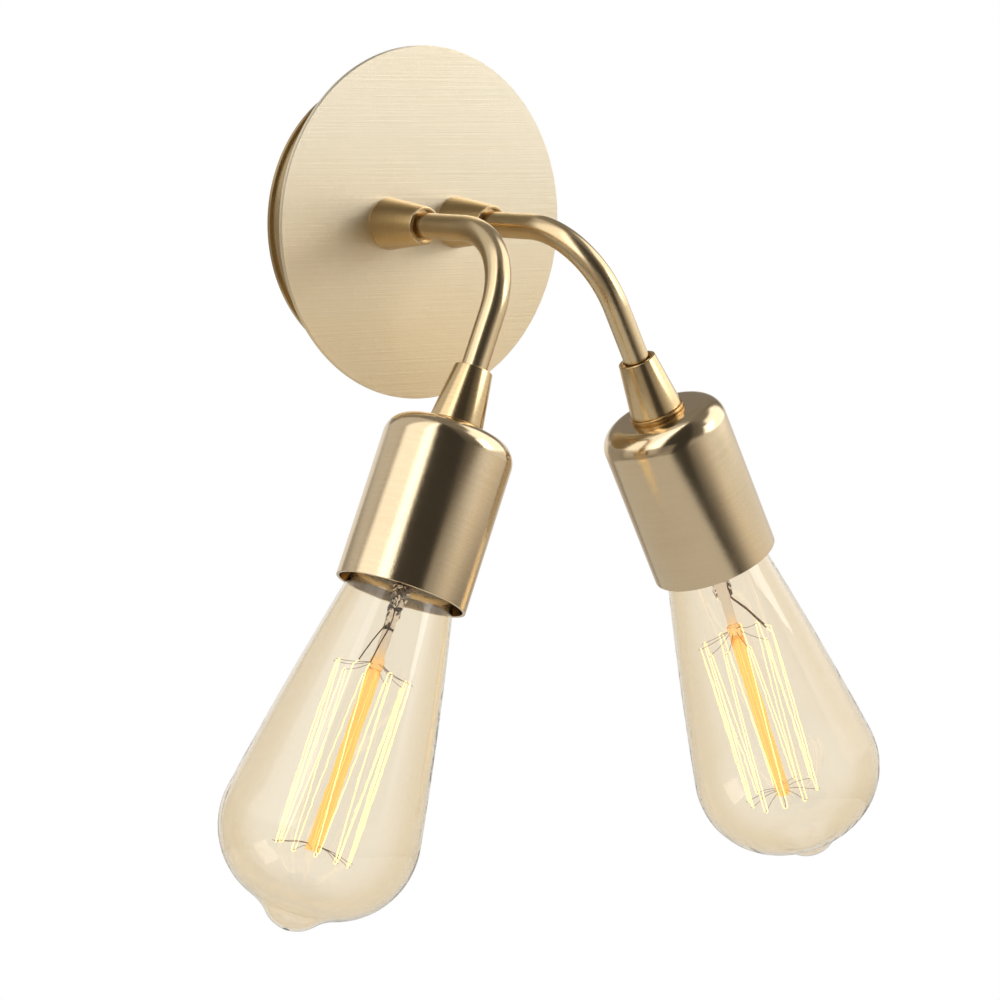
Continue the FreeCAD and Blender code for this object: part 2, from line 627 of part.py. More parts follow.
def canopy_screws():
    """Two side screws that hold the drum to the crossbar, and the earth screw."""
    members = []
    for name, sign in (("lower_side_screw", -1), ("upper_side_screw", 1)):
        screw = pan_screw(name, "Sizes.side_screw_diameter", "Sizes.side_screw_length")
        seat = Vector(0, -value("Sizes.side_screw_height"),
                      sign * value("Sizes.drum_diameter") / 2)
        screw.Placement = Placement(seat, Rotation(Vector(1, 0, 0), 0 if sign > 0 else 180))
        members.append(screw)
    group("canopy_side_screws", members)
    earth = pan_screw("earth_screw", "Sizes.earth_screw_diameter", "Sizes.bar_thickness")
    seat = Placement(Vector(0, 0, value("Sizes.bar_thickness")), Rotation())
    keep(earth, "earth_screw", out_of_wall(up=-value("Sizes.earth_screw_offset")) * seat)


def terminal_block():
    """An insulating block on the crossbar, with a row of ways and two screws in each."""
    half, ways = "Sizes.block_width / 2", "Sizes.way_pitch * (Sizes.way_count - 1)"
    low = "Sizes.block_offset - Sizes.block_height / 2"
    high = "Sizes.block_offset + Sizes.block_height / 2"
    body = new_body("terminal_block")
    sketch = new_sketch(body, "block", "XY_Plane", "Sizes.bar_thickness")
    draw_outline(sketch, [(f"-{half}", low), (half, low), (half, high), (f"-{half}", high)])
    pad(body, sketch, "Sizes.block_depth")
    bores = new_sketch(body, "wire_ways", "XZ_Plane")
    draw_circle(bores, f"-{ways} / 2", "Sizes.lead_height", "Sizes.way_diameter / 2")
    repeat(body, cut_through(body, bores), "X_Axis", ways, "Sizes.way_count")
    screw_rows = (f"{low} + Sizes.block_screw_inset", f"{high} - Sizes.block_screw_inset")
    for number, row in enumerate(screw_rows, 1):
        drills = new_sketch(body, f"screw_ways_{number}", "XY_Plane", "Stations.block_top")
        draw_circle(drills, f"-{ways} / 2", row, "Sizes.way_diameter / 2")
        drilled = cut_depth(body, drills, "Stations.block_top - Sizes.lead_height")
        repeat(body, drilled, "X_Axis", ways, "Sizes.way_count")
    keep(body, body.Label, out_of_wall())
    radius = "Sizes.way_diameter / 2"
    clamp = "Sizes.lead_height + Sizes.lead_diameter / 2"
    members = []
    middle_way = value("Sizes.way_count - 1") / 2
    for row in screw_rows:
        for way in range(int(value("Sizes.way_count"))):
            screw = turned_body(f"block_screw_{len(members) + 1}", [
                ("0", clamp), (radius, clamp),
                (radius, "Stations.block_top - Sizes.block_screw_recess"),
                ("0", "Stations.block_top - Sizes.block_screw_recess"),
            ])
            across = (way - middle_way) * value("Sizes.way_pitch")
            screw.Placement = out_of_wall(across, value(row))
            members.append(screw)
    group("terminal_block_screws", members)


def canopy_fixings():
    """Washers and locknuts behind the canopy's front, on the hollow threads."""
    washers, nuts = [], []
    for name, side in SIDES.items():
        across = side * value("Sizes.arm_spacing") / 2
        ring = turned_body(name + "_canopy_washer", [
            ("Sizes.nipple_diameter / 2", "Stations.washer_rear"),
            ("Sizes.washer_diameter / 2", "Stations.washer_rear"),
            ("Sizes.washer_diameter / 2", "Stations.drum_inside"),
            ("Sizes.nipple_diameter / 2", "Stations.drum_inside"),
        ])
        ring.Placement = out_of_wall(across)
        washers.append(ring)
        nut = hexagon_nut(name + "_canopy_locknut", "Sizes.locknut_width",
                          "Sizes.locknut_height", "Sizes.nipple_diameter")
        height = value("Stations.washer_rear - Sizes.locknut_height")
        nut.Placement = out_of_wall(across, turn=30) * Placement(Vector(0, 0, height), Rotation())
        nuts.append(nut)
    group("nipple_washers", washers)
    group("nipple_locknuts", nuts)


# Each arm swivels in a hollow thread and a cone that stay with the canopy.

def hollow_nipple(name):
    """The canopy's hollow thread, with a slot in its front end for the stop peg."""
    side = SIDES[name]
    label = name + "_hollow_nipple"
    tube = turned_body(label + "_tube", [
        ("Sizes.nipple_bore / 2", "Stations.nipple_rear"),
        ("Sizes.nipple_diameter / 2", "Stations.nipple_rear"),
        ("Sizes.nipple_diameter / 2", "Stations.nipple_front"),
        ("Sizes.nipple_bore / 2", "Stations.nipple_front"),
    ])
    half_track = "Sizes.stop_peg_diameter / 2 + Sizes.stop_clearance"
    depth = "Sizes.stop_peg_length + Sizes.stop_clearance"
    overrun = f"(asin(({half_track}) / Sizes.stop_radius) / 1deg + Sizes.stop_margin)"
    sector = document.addObject("Part::Cylinder", label + "_sector")
    sector.setExpression("Radius", f"Sizes.stop_radius + {half_track}")
    sector.setExpression("Height", depth)
    sector.setExpression("Angle", f"Sizes.swing_outer - Sizes.swing_inner + 2 * {overrun}")
    core = document.addObject("Part::Cylinder", label + "_core")
    core.setExpression("Radius", f"Sizes.stop_radius - ({half_track})")
    core.setExpression("Height", depth)
    track = document.addObject("Part::Cut", label + "_track")
    track.Base = sector
    track.Tool = core
    first = value("Sizes.swing_inner") if side > 0 else -value("Sizes.swing_outer")
    start = 90 + first - value(overrun)
    floor = Vector(0, 0, value(f"Stations.nipple_front - ({depth})"))
    track.Placement = Placement(floor, Rotation(Vector(0, 0, 1), start))
    nipple = document.addObject("Part::Cut", label)
    nipple.Base = tube
    nipple.Tool = track
    keep(nipple, label, out_of_wall(side * value("Sizes.arm_spacing") / 2))


def canopy_cone(name):
    """A cone screwed on the hollow thread. The tube turns in its bore, the collar behind."""
    body = turned_body(name + "_canopy_cone", [
        ("Sizes.nipple_diameter / 2", "0"),
        ("Sizes.cone_base_diameter / 2", "0"),
        ("Sizes.cone_tip_diameter / 2", "Sizes.cone_length"),
        ("Stations.lip_radius", "Sizes.cone_length"),
        ("Stations.lip_radius", "Stations.lip_floor"),
        ("Stations.tube_radius + Sizes.running_clearance", "Stations.lip_floor"),
        ("Stations.tube_radius + Sizes.running_clearance",
         "Stations.chamber_front - Sizes.canopy_depth"),
        ("Sizes.collar_diameter / 2 + Sizes.running_clearance",
         "Stations.chamber_front - Sizes.canopy_depth"),
        ("Sizes.collar_diameter / 2 + Sizes.running_clearance", "Sizes.nipple_outer_reach"),
        ("Sizes.nipple_diameter / 2", "Sizes.nipple_outer_reach"),
    ])
    across = SIDES[name] * value("Sizes.arm_spacing") / 2
    base = Placement(Vector(0, 0, value("Sizes.canopy_depth")), Rotation())
    keep(body, body.Label, out_of_wall(across) * base)


def swivel_washer(name):
    """A spring washer that gives the swivel its friction."""
    rear, front = "Stations.collar_front + Sizes.end_play", "Stations.chamber_front"
    bore = "Stations.tube_radius + Sizes.hole_clearance"
    rim = "Sizes.collar_diameter / 2"
    body = turned_body(name + "_swivel_washer",
                       [(bore, rear), (rim, rear), (rim, front), (bore, front)])
    keep(body, body.Label, out_of_wall(SIDES[name] * value("Sizes.arm_spacing") / 2))


def swivel_collar(name):
    """A collar fixed on the tube's end, with the stop peg on its rear face."""
    rim, length = "Sizes.collar_diameter / 2", "Sizes.collar_length"
    body = turned_body(name + "_swivel_collar",
                       [("Stations.tube_radius", "0"), (rim, "0"),
                        (rim, length), ("Stations.tube_radius", length)])
    peg = new_sketch(body, "peg", "XY_Plane")
    draw_circle(peg, "0", "Sizes.stop_radius", "Sizes.stop_peg_diameter / 2")
    pad(body, peg, "Sizes.stop_peg_length", reverse=True)
    keep(body, body.Label, arm_frame(name, value("Stations.collar_rear")))


def arm_tube(name):
    """A straight run out of the canopy, one bend, and a drop into the cup cone."""
    body = new_body(name + "_arm_tube")
    route = new_sketch(body, "route", "YZ_Plane")
    up, out = value("Stations.bend_end_up"), value("Stations.bend_end_out")
    run, radius = value("Stations.tube_run"), value("Sizes.bend_radius")
    end = Vector(value("Stations.tube_end_up"), value("Stations.tube_end_out"), 0)
    circle = Part.Circle(Vector(-radius, run, 0), Vector(0, 0, 1), radius)
    angle = math.radians(value("Sizes.bend_angle"))
    route.addGeometry(Part.LineSegment(Vector(0, 0, 0), Vector(0, run, 0)), False)
    route.addGeometry(Part.ArcOfCircle(circle, 0, angle), False)
    route.addGeometry(Part.LineSegment(Vector(up, out, 0), end), False)
    route.addConstraint(Sketcher.Constraint("Coincident", 0, 2, 1, 1))
    route.addConstraint(Sketcher.Constraint("Coincident", 1, 2, 2, 1))
    pin_point(route, 0, 1, "0", "0")
    pin_point(route, 0, 2, "0", "Stations.tube_run")
    pin_point(route, 1, 3, "-Sizes.bend_radius", "Stations.tube_run")
    pin_point(route, 2, 2, "Stations.tube_end_up", "Stations.tube_end_out")
    slope = route.addConstraint(Sketcher.Constraint("DistanceX", -1, 1, 2, 1, up))
    route.setExpression(f"Constraints[{slope}]", "Stations.bend_end_up")
    section = new_sketch(body, "section", "XY_Plane")
    draw_circle(section, "0", "0", "Stations.tube_radius")
    draw_circle(section, "0", "0", "Stations.tube_radius - Sizes.tube_wall")
    bent = body.newObject("PartDesign::AdditivePipe", body.Name + "_bent")
    bent.Profile = section
    bent.Spine = route
    keep(body, body.Label, arm_frame(name, value("Stations.collar_rear")))


# The cup end of each arm.

def cup_cone(name):
    """The same cone as at the canopy, narrow end up, fixed on the tube's end."""
    seat = "Sizes.cone_length - Sizes.tube_insert"
    body = turned_body(name + "_cup_cone", [
        ("Sizes.cup_nipple_diameter / 2", "0"),
        ("Sizes.cone_base_diameter / 2", "0"),
        ("Sizes.cone_tip_diameter / 2", "Sizes.cone_length"),
        ("Stations.lip_radius", "Sizes.cone_length"),
        ("Stations.lip_radius", "Stations.lip_floor"),
        ("Stations.tube_radius", "Stations.lip_floor"),
        ("Stations.tube_radius", seat),
        ("Sizes.cup_nipple_diameter / 2", seat),
    ])
    over = Rotation(Vector(1, 0, 0), 180)
    base = cup_frame(name, value("Sizes.cone_length"))
    keep(body, body.Label, base * Placement(Vector(), over))


def cup_ring(name):
    inner, outer = "Sizes.cup_nipple_diameter / 2", "Sizes.ring_diameter / 2"
    body = turned_body(name + "_cup_ring", [
        (inner, "Sizes.cone_length"), (outer, "Sizes.cone_length"),
        (outer, "Stations.cup_top"), (inner, "Stations.cup_top"),
    ])
    keep(body, body.Label, cup_frame(name))


def lampholder_cup(name):
    """A spun cup with a round shoulder, open at the bottom."""
    outer, inner = "Sizes.cup_diameter / 2", "Sizes.cup_diameter / 2 - Sizes.cup_wall"
    hole = "Sizes.cup_nipple_diameter / 2 + Sizes.hole_clearance"
    body = turned_body(name + "_lampholder_cup", [
        (hole, "Stations.cup_top"), (outer, "Stations.cup_top"),
        (outer, "Stations.cup_mouth"), (inner, "Stations.cup_mouth"),
        (inner, "Stations.cup_inside"), (hole, "Stations.cup_inside"),
    ])
    soften(body, "Fillet", outer, "Stations.cup_top", "Sizes.cup_shoulder_radius", "Radius")
    soften(body, "Fillet", inner, "Stations.cup_inside",
           "Sizes.cup_shoulder_radius - Sizes.cup_wall", "Radius")
    keep(body, body.Label, cup_frame(name))


def cup_fixings(name):
    """The hollow thread that joins cone, cup and lampholder, and its locknut."""
    inner, outer = "Sizes.cup_nipple_bore / 2", "Sizes.cup_nipple_diameter / 2"
    nipple = turned_body(name + "_cup_nipple", [
        (inner, "Stations.cup_nipple_top"), (outer, "Stations.cup_nipple_top"),
        (outer, "Stations.cup_nipple_end"), (inner, "Stations.cup_nipple_end"),
    ])
    keep(nipple, nipple.Label, cup_frame(name))
    nut = hexagon_nut(name + "_cup_locknut", "Sizes.cup_locknut_width",
                      "Sizes.cup_locknut_height", "Sizes.cup_nipple_diameter")
    keep(nut, name + "_cup_locknut", cup_frame(name, value("Stations.cup_inside")))


def lampholder_body(name):
    """The insulating body: a wiring chamber above and the socket for the bulb below."""
    thread, boss = "Sizes.cup_nipple_diameter / 2", "Sizes.holder_boss_diameter / 2"
    side, socket = "Sizes.holder_diameter / 2", "Stations.shell_radius"
    post = "Sizes.contact_post_diameter / 2"
    body = turned_body(name + "_lampholder_body", [
        (thread, "Stations.holder_top"), (boss, "Stations.holder_top"),
        (boss, "Stations.holder_slope"), (side, "Stations.holder_side"),
        (side, "Stations.holder_end"), (socket, "Stations.holder_end"),
        (socket, "Stations.socket_floor"), (post, "Stations.socket_floor"),
        (post, "Stations.chamber_floor"), ("Stations.chamber_radius", "Stations.chamber_floor"),
        ("Stations.chamber_radius", "Stations.holder_side + Sizes.holder_roof"),
        (thread, "Stations.holder_slope + Sizes.holder_roof"),
    ])
    holes = new_sketch(body, "terminal_holes", "XY_Plane", "Stations.chamber_floor")
    for sign in ("-", ""):
        draw_circle(holes, f"{sign}Sizes.terminal_radius", "0", "Sizes.terminal_screw_diameter / 2")
    cut_depth(body, holes, "Sizes.holder_floor", reverse=True)
    keep(body, body.Label, cup_frame(name))


def lampholder_contacts(name):
    """The screw shell, the centre contact and the two terminal screws."""
    outer, inner = "Stations.shell_radius", "Stations.shell_inner_radius"
    floor, rim = "Stations.socket_floor", "Stations.holder_end - Sizes.shell_recess"
    flange = f"{outer} - Sizes.shell_flange_width"
    shell = turned_body(name + "_screw_shell", [
        (flange, floor), (outer, floor), (outer, rim), (inner, rim),
        (inner, f"{floor} + Sizes.shell_wall"), (flange, f"{floor} + Sizes.shell_wall"),
    ])
    keep(shell, shell.Label, cup_frame(name))
    post, head = "Sizes.contact_post_diameter / 2", "Sizes.contact_head_diameter / 2"
    contact = turned_body(name + "_centre_contact", [
        ("0", "Stations.chamber_floor"), (post, "Stations.chamber_floor"),
        (post, floor), (head, floor), (head, "Stations.contact_top"),
        ("0", "Stations.contact_top"),
    ])
    keep(contact, contact.Label, cup_frame(name))
    members = []
    for number, side in enumerate((-1, 1), 1):
        screw = pan_screw(f"{name}_terminal_screw_{number}",
                          "Sizes.terminal_screw_diameter", "Sizes.holder_floor")
        seat = Vector(side * value("Sizes.terminal_radius"), 0, value("Stations.chamber_floor"))
        screw.Placement = cup_frame(name) * Placement(seat, Rotation(Vector(1, 0, 0), 180))
        members.append(screw)
    group(name + "_terminal_screws", members)


# The wires, from the terminal block through each arm to its lampholder.

def canopy_leads():
    """Two wires from the terminal block to each arm's swivel."""
    diameter, height = value("Sizes.lead_diameter"), value("Sizes.lead_height")
    radius = value("Sizes.lead_bend_radius")
    block_face = value("Sizes.block_offset - Sizes.block_height / 2")
    front = value("Stations.collar_rear")
    middle_way = value("Sizes.way_count - 1") / 2
    solids = []
    for side in SIDES.values():
        for number, sign in enumerate((-1, 1)):
            across = side * value("Sizes.arm_spacing") / 2 + sign * value("Sizes.lead_offset")
            way = (number + side + 1 - middle_way) * value("Sizes.way_pitch")
            route = rounded_path([
                Vector(across, 0, front),
                Vector(across, 0, height),
                Vector(way, block_face - radius, height),
                Vector(way, block_face + value("Sizes.lead_insert"), height),
            ], radius)
            solids.append(wire_solid(route, diameter))
    shaped_part("canopy_leads", Part.makeCompound(solids), out_of_wall())


def arm_leads(name):
    """Two wires side by side through the tube, spread to the terminal screws."""
    diameter, radius = value("Sizes.lead_diameter"), value("Sizes.lead_bend_radius")
    bend, run = value("Sizes.bend_radius"), value("Stations.tube_run")
    angle = math.radians(value("Sizes.bend_angle"))
    half = angle / 2
    down = Vector(0, -math.sin(angle), math.cos(angle))
    cone = Vector(0, value("Stations.cup_cone_up"), value("Stations.cup_cone_out"))
    solids = []
    for side in (-1, 1):
        near = Vector(side * value("Sizes.lead_offset"), 0, 0)
        far = Vector(side * value("Sizes.terminal_radius"), 0, 0)
        start, bend_start = near, near + Vector(0, 0, run)
        middle = bend_start + Vector(0, -bend * (1 - math.cos(half)), bend * math.sin(half))
        bend_end = bend_start + Vector(0, -bend * (1 - math.cos(angle)), bend * math.sin(angle))
        spread_start = cone + near + down * value("Stations.holder_slope + Sizes.holder_roof")
        spread_end = cone + far + down * (value("Stations.terminal_head") - radius)
        lead_end = cone + far + down * value("Stations.terminal_head")
        lower = rounded_path([bend_end, spread_start, spread_end, lead_end], radius)
        route = Part.Wire([Part.LineSegment(start, bend_start).toShape(),
                           Part.Arc(bend_start, middle, bend_end).toShape()] + lower.Edges)
        solids.append(wire_solid(route, diameter))
    shaped_part(name + "_arm_leads", Part.makeCompound(solids),
                arm_frame(name, value("Stations.collar_rear")))


# The bulbs.

def bulb_cap(name):
    """The rolled cap: a thin cup with rounded thread ridges round it."""
    outer, inner = "Sizes.cap_root_diameter / 2", "Stations.cap_inner_radius"
    floor = "-Sizes.cap_length"
    seat = "Sizes.tip_diameter / 2 + Sizes.cap_hole_margin"
    body = turned_body(name + "_bulb_cap", [
        (inner, "0"), (outer, "0"), (outer, floor), (seat, floor),
        (seat, f"{floor} + Sizes.cap_sheet"), (inner, f"{floor} + Sizes.cap_sheet"),
    ])
    crest = "Sizes.cap_crest_diameter / 2"
    low, high = ("-Sizes.cap_pitch * (1 + Sizes.ridge_share / 2)",
                 "-Sizes.cap_pitch * (1 - Sizes.ridge_share / 2)")
    crest_low, crest_high = ("-Sizes.cap_pitch * (1 + Sizes.crest_share / 2)",
                             "-Sizes.cap_pitch * (1 - Sizes.crest_share / 2)")
    sketch = new_sketch(body, "ridge_outline", "XZ_Plane")
    draw_outline(sketch, [
        (f"{outer} - Sizes.cap_sheet / 2", low), (outer, low),
        (crest, crest_low), (crest, crest_high),
        (outer, high), (f"{outer} - Sizes.cap_sheet / 2", high),
    ])
    ridge = body.newObject("PartDesign::Revolution", body.Name + "_ridge")
    ridge.Profile = sketch
    ridge.ReferenceAxis = (sketch, ["V_Axis"])
    ridge.Angle = 360
    row = repeat(body, ridge, "Z_Axis",
                 "Sizes.cap_pitch * (Sizes.cap_turns - 1)", "Sizes.cap_turns")
    row.Reversed = True
    keep(body, body.Label, cap_frame(name))


def cap_insulator(name):
    """The dark glass button that closes the end of the cap."""
    floor, end = "-Sizes.cap_length", "-Sizes.cap_length - Sizes.insulator_length"
    body = turned_body(name + "_cap_insulator", [
        ("0", floor), ("Sizes.cap_root_diameter / 2 - Sizes.insulator_step", floor),
        ("Sizes.insulator_tip_diameter / 2", end), ("0", end),
    ])
    keep(body, body.Label, cap_frame(name))


def cap_contact(name):
    """The contact on the very end of the bulb."""
    start = "-Sizes.cap_length - Sizes.insulator_length"
    radius = "Sizes.tip_diameter / 2"
    body = turned_body(name + "_cap_contact", [
        ("0", start), (radius, start), (radius, f"{start} - Sizes.tip_height / 2"),
        (f"{radius} * Sizes.tip_flat", f"{start} - Sizes.tip_height"),
        ("0", f"{start} - Sizes.tip_height"),
    ])
    keep(body, body.Label, cap_frame(name))


def meeting_point(first, first_reach, second, second_reach):
    """The point at a reach from each of two centres, on the side away from the neck's bore."""
    between = second - first
    span = between.Length
    along = (span ** 2 + first_reach ** 2 - second_reach ** 2) / (2 * span)
    aside = math.sqrt(first_reach ** 2 - along ** 2)
    axis = between.normalize()
    return first + axis * along + Vector(axis.z, 0, -axis.x) * aside


def envelope_outline(inset):
    """Half of the bulb's outline, drawn in by an inset, from its neck to the axis.

    The flank, the round end, the hollow and the nib are arcs that meet tangentially.
    Their centres stay where they are while the inset changes their radii.
    """
    big, flank = value("Sizes.shoulder_radius"), value("Sizes.flank_radius")
    hollow, nib = value("Sizes.dimple_radius"), value("Sizes.nib_radius")
    big_centre = Vector(value("Sizes.bulb_diameter") / 2 - big, 0, value("Sizes.bulb_widest"))
    flare = value("Sizes.flare_length")
    foot = Vector(value("Stations.flank_foot_radius"), 0, flare)
    flank_centre = meeting_point(big_centre, flank - big, foot, flank)
    normal = (big_centre - flank_centre).normalize()
    nib_centre = Vector(0, 0, value("Sizes.bulb_length") - nib)
    hollow_centre = meeting_point(big_centre, big + hollow, nib_centre, nib + hollow)
    neck = value("Sizes.neck_diameter") / 2 - inset
    flank_reach = flank - inset

    def on_flank(height):
        drop = height - flank_centre.z
        return Vector(flank_centre.x + math.sqrt(flank_reach ** 2 - drop ** 2), 0, height)

    def arc(centre, radius, first, last):
        """An arc between the directions of two points seen from its centre."""
        begin, end = (first - centre).normalize(), (last - centre).normalize()
        middle = (begin + end).normalize()
        return Part.Arc(centre + begin * radius, centre + middle * radius, centre + end * radius)

    flank_start = on_flank(flare)
    flank_end = flank_centre + normal * flank_reach
    neck_end = Vector(neck, 0, value("Sizes.neck_straight"))
    lean = (on_flank(flare + 1) - flank_start).normalize()
    flare_curve = Part.BezierCurve()
    flare_curve.setPoles([neck_end, neck_end + Vector(0, 0, flare * NECK_HANDLE),
                          flank_start - lean * (flare * FLANK_HANDLE), flank_start])
    middle = on_flank((flare + flank_end.z) / 2)
    return [
        Part.LineSegment(Vector(neck, 0, -value("Sizes.neck_insert")), neck_end),
        flare_curve,
        Part.Arc(flank_start, middle, flank_end),
        arc(big_centre, big - inset, flank_end, hollow_centre),
        arc(hollow_centre, hollow + inset, big_centre, nib_centre),
        arc(nib_centre, nib - inset, hollow_centre, nib_centre + Vector(0, 0, 1)),
    ]


def bulb_glass(name):
    """The blown envelope, open where its neck sits in the cap."""
    outer = [curve.toShape() for curve in envelope_outline(0)]
    inner = [curve.toShape() for curve in envelope_outline(value("Sizes.glass_wall"))]
    ends = [(curves[index].valueAt(parameter(curves[index])))
            for index, parameter in ((0, lambda edge: edge.FirstParameter),
                                     (-1, lambda edge: edge.LastParameter))
            for curves in (outer, inner)]
    joins = [Part.LineSegment(ends[0], ends[1]).toShape(),
             Part.LineSegment(ends[2], ends[3]).toShape()]
    outline = Part.Wire(Part.sortEdges(outer + inner + joins)[0])
    solid = Part.Face(outline).revolve(Vector(), Vector(0, 0, 1), 360)
    shaped_part(name + "_bulb_glass", solid, glass_frame(name))


def bulb_stem(name):
    """The glass mount: a flared foot, a flat press, a rod and its two buttons."""
    rod, hub = "Sizes.rod_diameter / 2", "Sizes.hub_diameter / 2"
    foot, stem = "-Sizes.stem_foot", "Sizes.stem_diameter / 2"
    half = "Sizes.hub_length / 2"
    top, bottom = "Sizes.top_hub", "Sizes.bottom_hub"
    start, end = "Sizes.press_start", "Sizes.press_end"
    body = turned_body(name + "_bulb_stem", [
        ("0", foot), ("Stations.stem_foot_radius", foot),
        ("Stations.stem_foot_radius", f"{foot} + Sizes.stem_foot_rim"), (stem, start),
        (stem, f"{start} + Sizes.press_shoulder / 2"), (rod, f"{start} + Sizes.press_shoulder"),
        (rod, f"{top} - {half}"), (hub, f"{top} - {half}"),
        (hub, f"{top} + {half}"), (rod, f"{top} + {half}"),
        (rod, f"{bottom} - {half}"), (hub, f"{bottom} - {half}"),
        (hub, f"{bottom} + {half}"), ("0", f"{bottom} + {half}"),
    ])
    wide, narrow = "Sizes.press_width / 2", "Sizes.press_tip_width / 2"
    waist = f"({start} + {end}) / 2"
    press = new_sketch(body, "press", "XZ_Plane")
    draw_outline(press, [
        (f"-{narrow}", start), (narrow, start), (wide, f"{start} + Sizes.press_shoulder"),
        (wide, waist), (narrow, end), (f"-{narrow}", end), (f"-{wide}", waist),
        (f"-{wide}", f"{start} + Sizes.press_shoulder"),
    ])
    pad(body, press, "Sizes.press_thickness", midplane=True)
    keep(body, body.Label, mount_frame(name))


def on_cage(angle, height, radius):
    """A point at an angle round the bulb's axis, in degrees."""
    turn = math.radians(angle)
    return Vector(radius * math.cos(turn), radius * math.sin(turn), height)


def cage_vertices():
    """Angles of the filament's turns: ends and even ones at the top, odd ones below."""
    opening, count = value("Sizes.cage_opening"), int(value("Sizes.strand_count"))
    step = (360 - opening) / count
    return [opening / 2 + step * index for index in range(count + 1)]


def bulb_filament(name):
    """One wire zigzagging round the cage, over a support wire at each turn."""
    radius, hook = value("Sizes.cage_radius"), value("Sizes.hook_radius")
    heights = (value("Sizes.cage_top"), value("Sizes.cage_bottom"))
    angles = cage_vertices()
    spread = math.degrees(hook / radius)
    points = [on_cage(angles[0], heights[0], radius)]
    for index, angle in enumerate(angles[1:-1], 1):
        points.append(on_cage(angle - spread, heights[index % 2], radius))
        points.append(on_cage(angle + spread, heights[index % 2], radius))
    points.append(on_cage(angles[-1], heights[0], radius))
    route = rounded_path(points, hook * FILAMENT_TURN_SHARE)
    diameter = value("Sizes.filament_diameter")
    strands = wire_solid(route, diameter)
    print(f"{name} filament: {route.Length:.0f} mm long, "
          f"{strands.Volume / (route.Length * math.pi * diameter ** 2 / 4):.3f} of its section "
          f"times its length, turns {2 * hook - diameter:.2f} mm clear inside")
    shaped_part(name + "_bulb_filament", strands, mount_frame(name))


def bulb_supports(name):
    """Thin wires from the two buttons that carry the filament's turns."""
    radius, hub = value("Sizes.cage_radius"), value("Sizes.hub_diameter") / 2
    reach = radius + value("Sizes.support_overhang")
    thickness = value("Sizes.support_diameter")
    inside = value("(Sizes.support_diameter + Sizes.filament_diameter) / 2 + Sizes.support_gap")
    hubs = (value("Sizes.top_hub"), value("Sizes.bottom_hub"))
    heights = (value("Sizes.cage_top") + inside, value("Sizes.cage_bottom") - inside)
    solids = []
    for index, angle in enumerate(cage_vertices()[1:-1], 1):
        level = index % 2
        start = on_cage(angle, hubs[level], hub)
        slope = (heights[level] - hubs[level]) / (radius - hub)
        end = on_cage(angle, hubs[level] + slope * (reach - hub), reach)
        along = end - start
        solids.append(Part.makeCylinder(thickness / 2, along.Length, start, along))
    shaped_part(name + "_support_wires", Part.makeCompound(solids), mount_frame(name))


def bulb_lead_wires(name):
    """Two kinked wires from the press to the ends of the filament."""
    diameter, radius = value("Sizes.inlead_diameter"), value("Sizes.cage_radius")
    angles = cage_vertices()
    press = value("Sizes.press_end")
    bend = press + value("Sizes.inlead_straight")
    across, half = value("Sizes.inlead_across"), value("Sizes.inlead_spacing") / 2
    end_height = value("Sizes.cage_top - Sizes.filament_diameter")
    solids = []
    for angle, aside in ((angles[0], half), (angles[-1], -half)):
        route = rounded_path([
            Vector(across, aside, press), Vector(across, aside, bend),
            on_cage(angle, end_height, radius),
        ], value("Sizes.inlead_bend_radius"))
        solids.append(wire_solid(route, diameter))
    shaped_part(name + "_bulb_lead_wires", Part.makeCompound(solids), mount_frame(name))


canopy_face_plate()
canopy_drum()
wall_crossbar()
canopy_screws()
terminal_block()
canopy_fixings()
canopy_leads()
for side_name in SIDES:
    for make in (hollow_nipple, canopy_cone, swivel_washer, swivel_collar, arm_tube,
                 cup_cone, cup_ring, lampholder_cup, cup_fixings, lampholder_body,
                 lampholder_contacts, arm_leads, bulb_cap, cap_insulator, cap_contact,
                 bulb_glass, bulb_stem, bulb_filament, bulb_supports, bulb_lead_wires):
        make(side_name)

document.recompute()
for item in document.Objects:
    if "Invalid" in item.State or "Error" in item.State:
        raise RuntimeError(f"{item.Label} failed: {item.State}")
for piece in parts:
    if piece.Shape.isNull() or not piece.Shape.isValid() or not piece.Shape.Solids:
        raise RuntimeError(f"{piece.Label} has no valid solid")

os.makedirs("parts", exist_ok=True)
for piece in parts:
    piece.Shape.exportStep(f"parts/{piece.Label}.step")
    print(f"{piece.Label}: {len(piece.Shape.Solids)} solid(s), {piece.Shape.Volume:.1f} mm3")
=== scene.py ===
"""Double arm wall light in satin brass, with a glowing teardrop filament bulb in a cup on each arm."""
import math
import random

import bmesh
import bpy
from mathutils import Matrix, Vector


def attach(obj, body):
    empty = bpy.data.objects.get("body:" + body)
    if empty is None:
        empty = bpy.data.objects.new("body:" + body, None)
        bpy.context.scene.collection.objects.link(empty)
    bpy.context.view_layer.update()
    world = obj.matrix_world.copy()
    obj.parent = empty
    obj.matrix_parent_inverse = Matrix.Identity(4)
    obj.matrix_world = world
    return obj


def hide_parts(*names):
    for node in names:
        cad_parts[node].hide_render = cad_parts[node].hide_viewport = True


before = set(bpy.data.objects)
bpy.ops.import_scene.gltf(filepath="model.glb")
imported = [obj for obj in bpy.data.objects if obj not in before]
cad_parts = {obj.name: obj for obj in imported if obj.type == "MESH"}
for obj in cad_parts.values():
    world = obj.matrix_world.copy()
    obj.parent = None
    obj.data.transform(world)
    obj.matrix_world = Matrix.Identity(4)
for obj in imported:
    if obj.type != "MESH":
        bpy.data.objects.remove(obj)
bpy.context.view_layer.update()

MM = 0.001

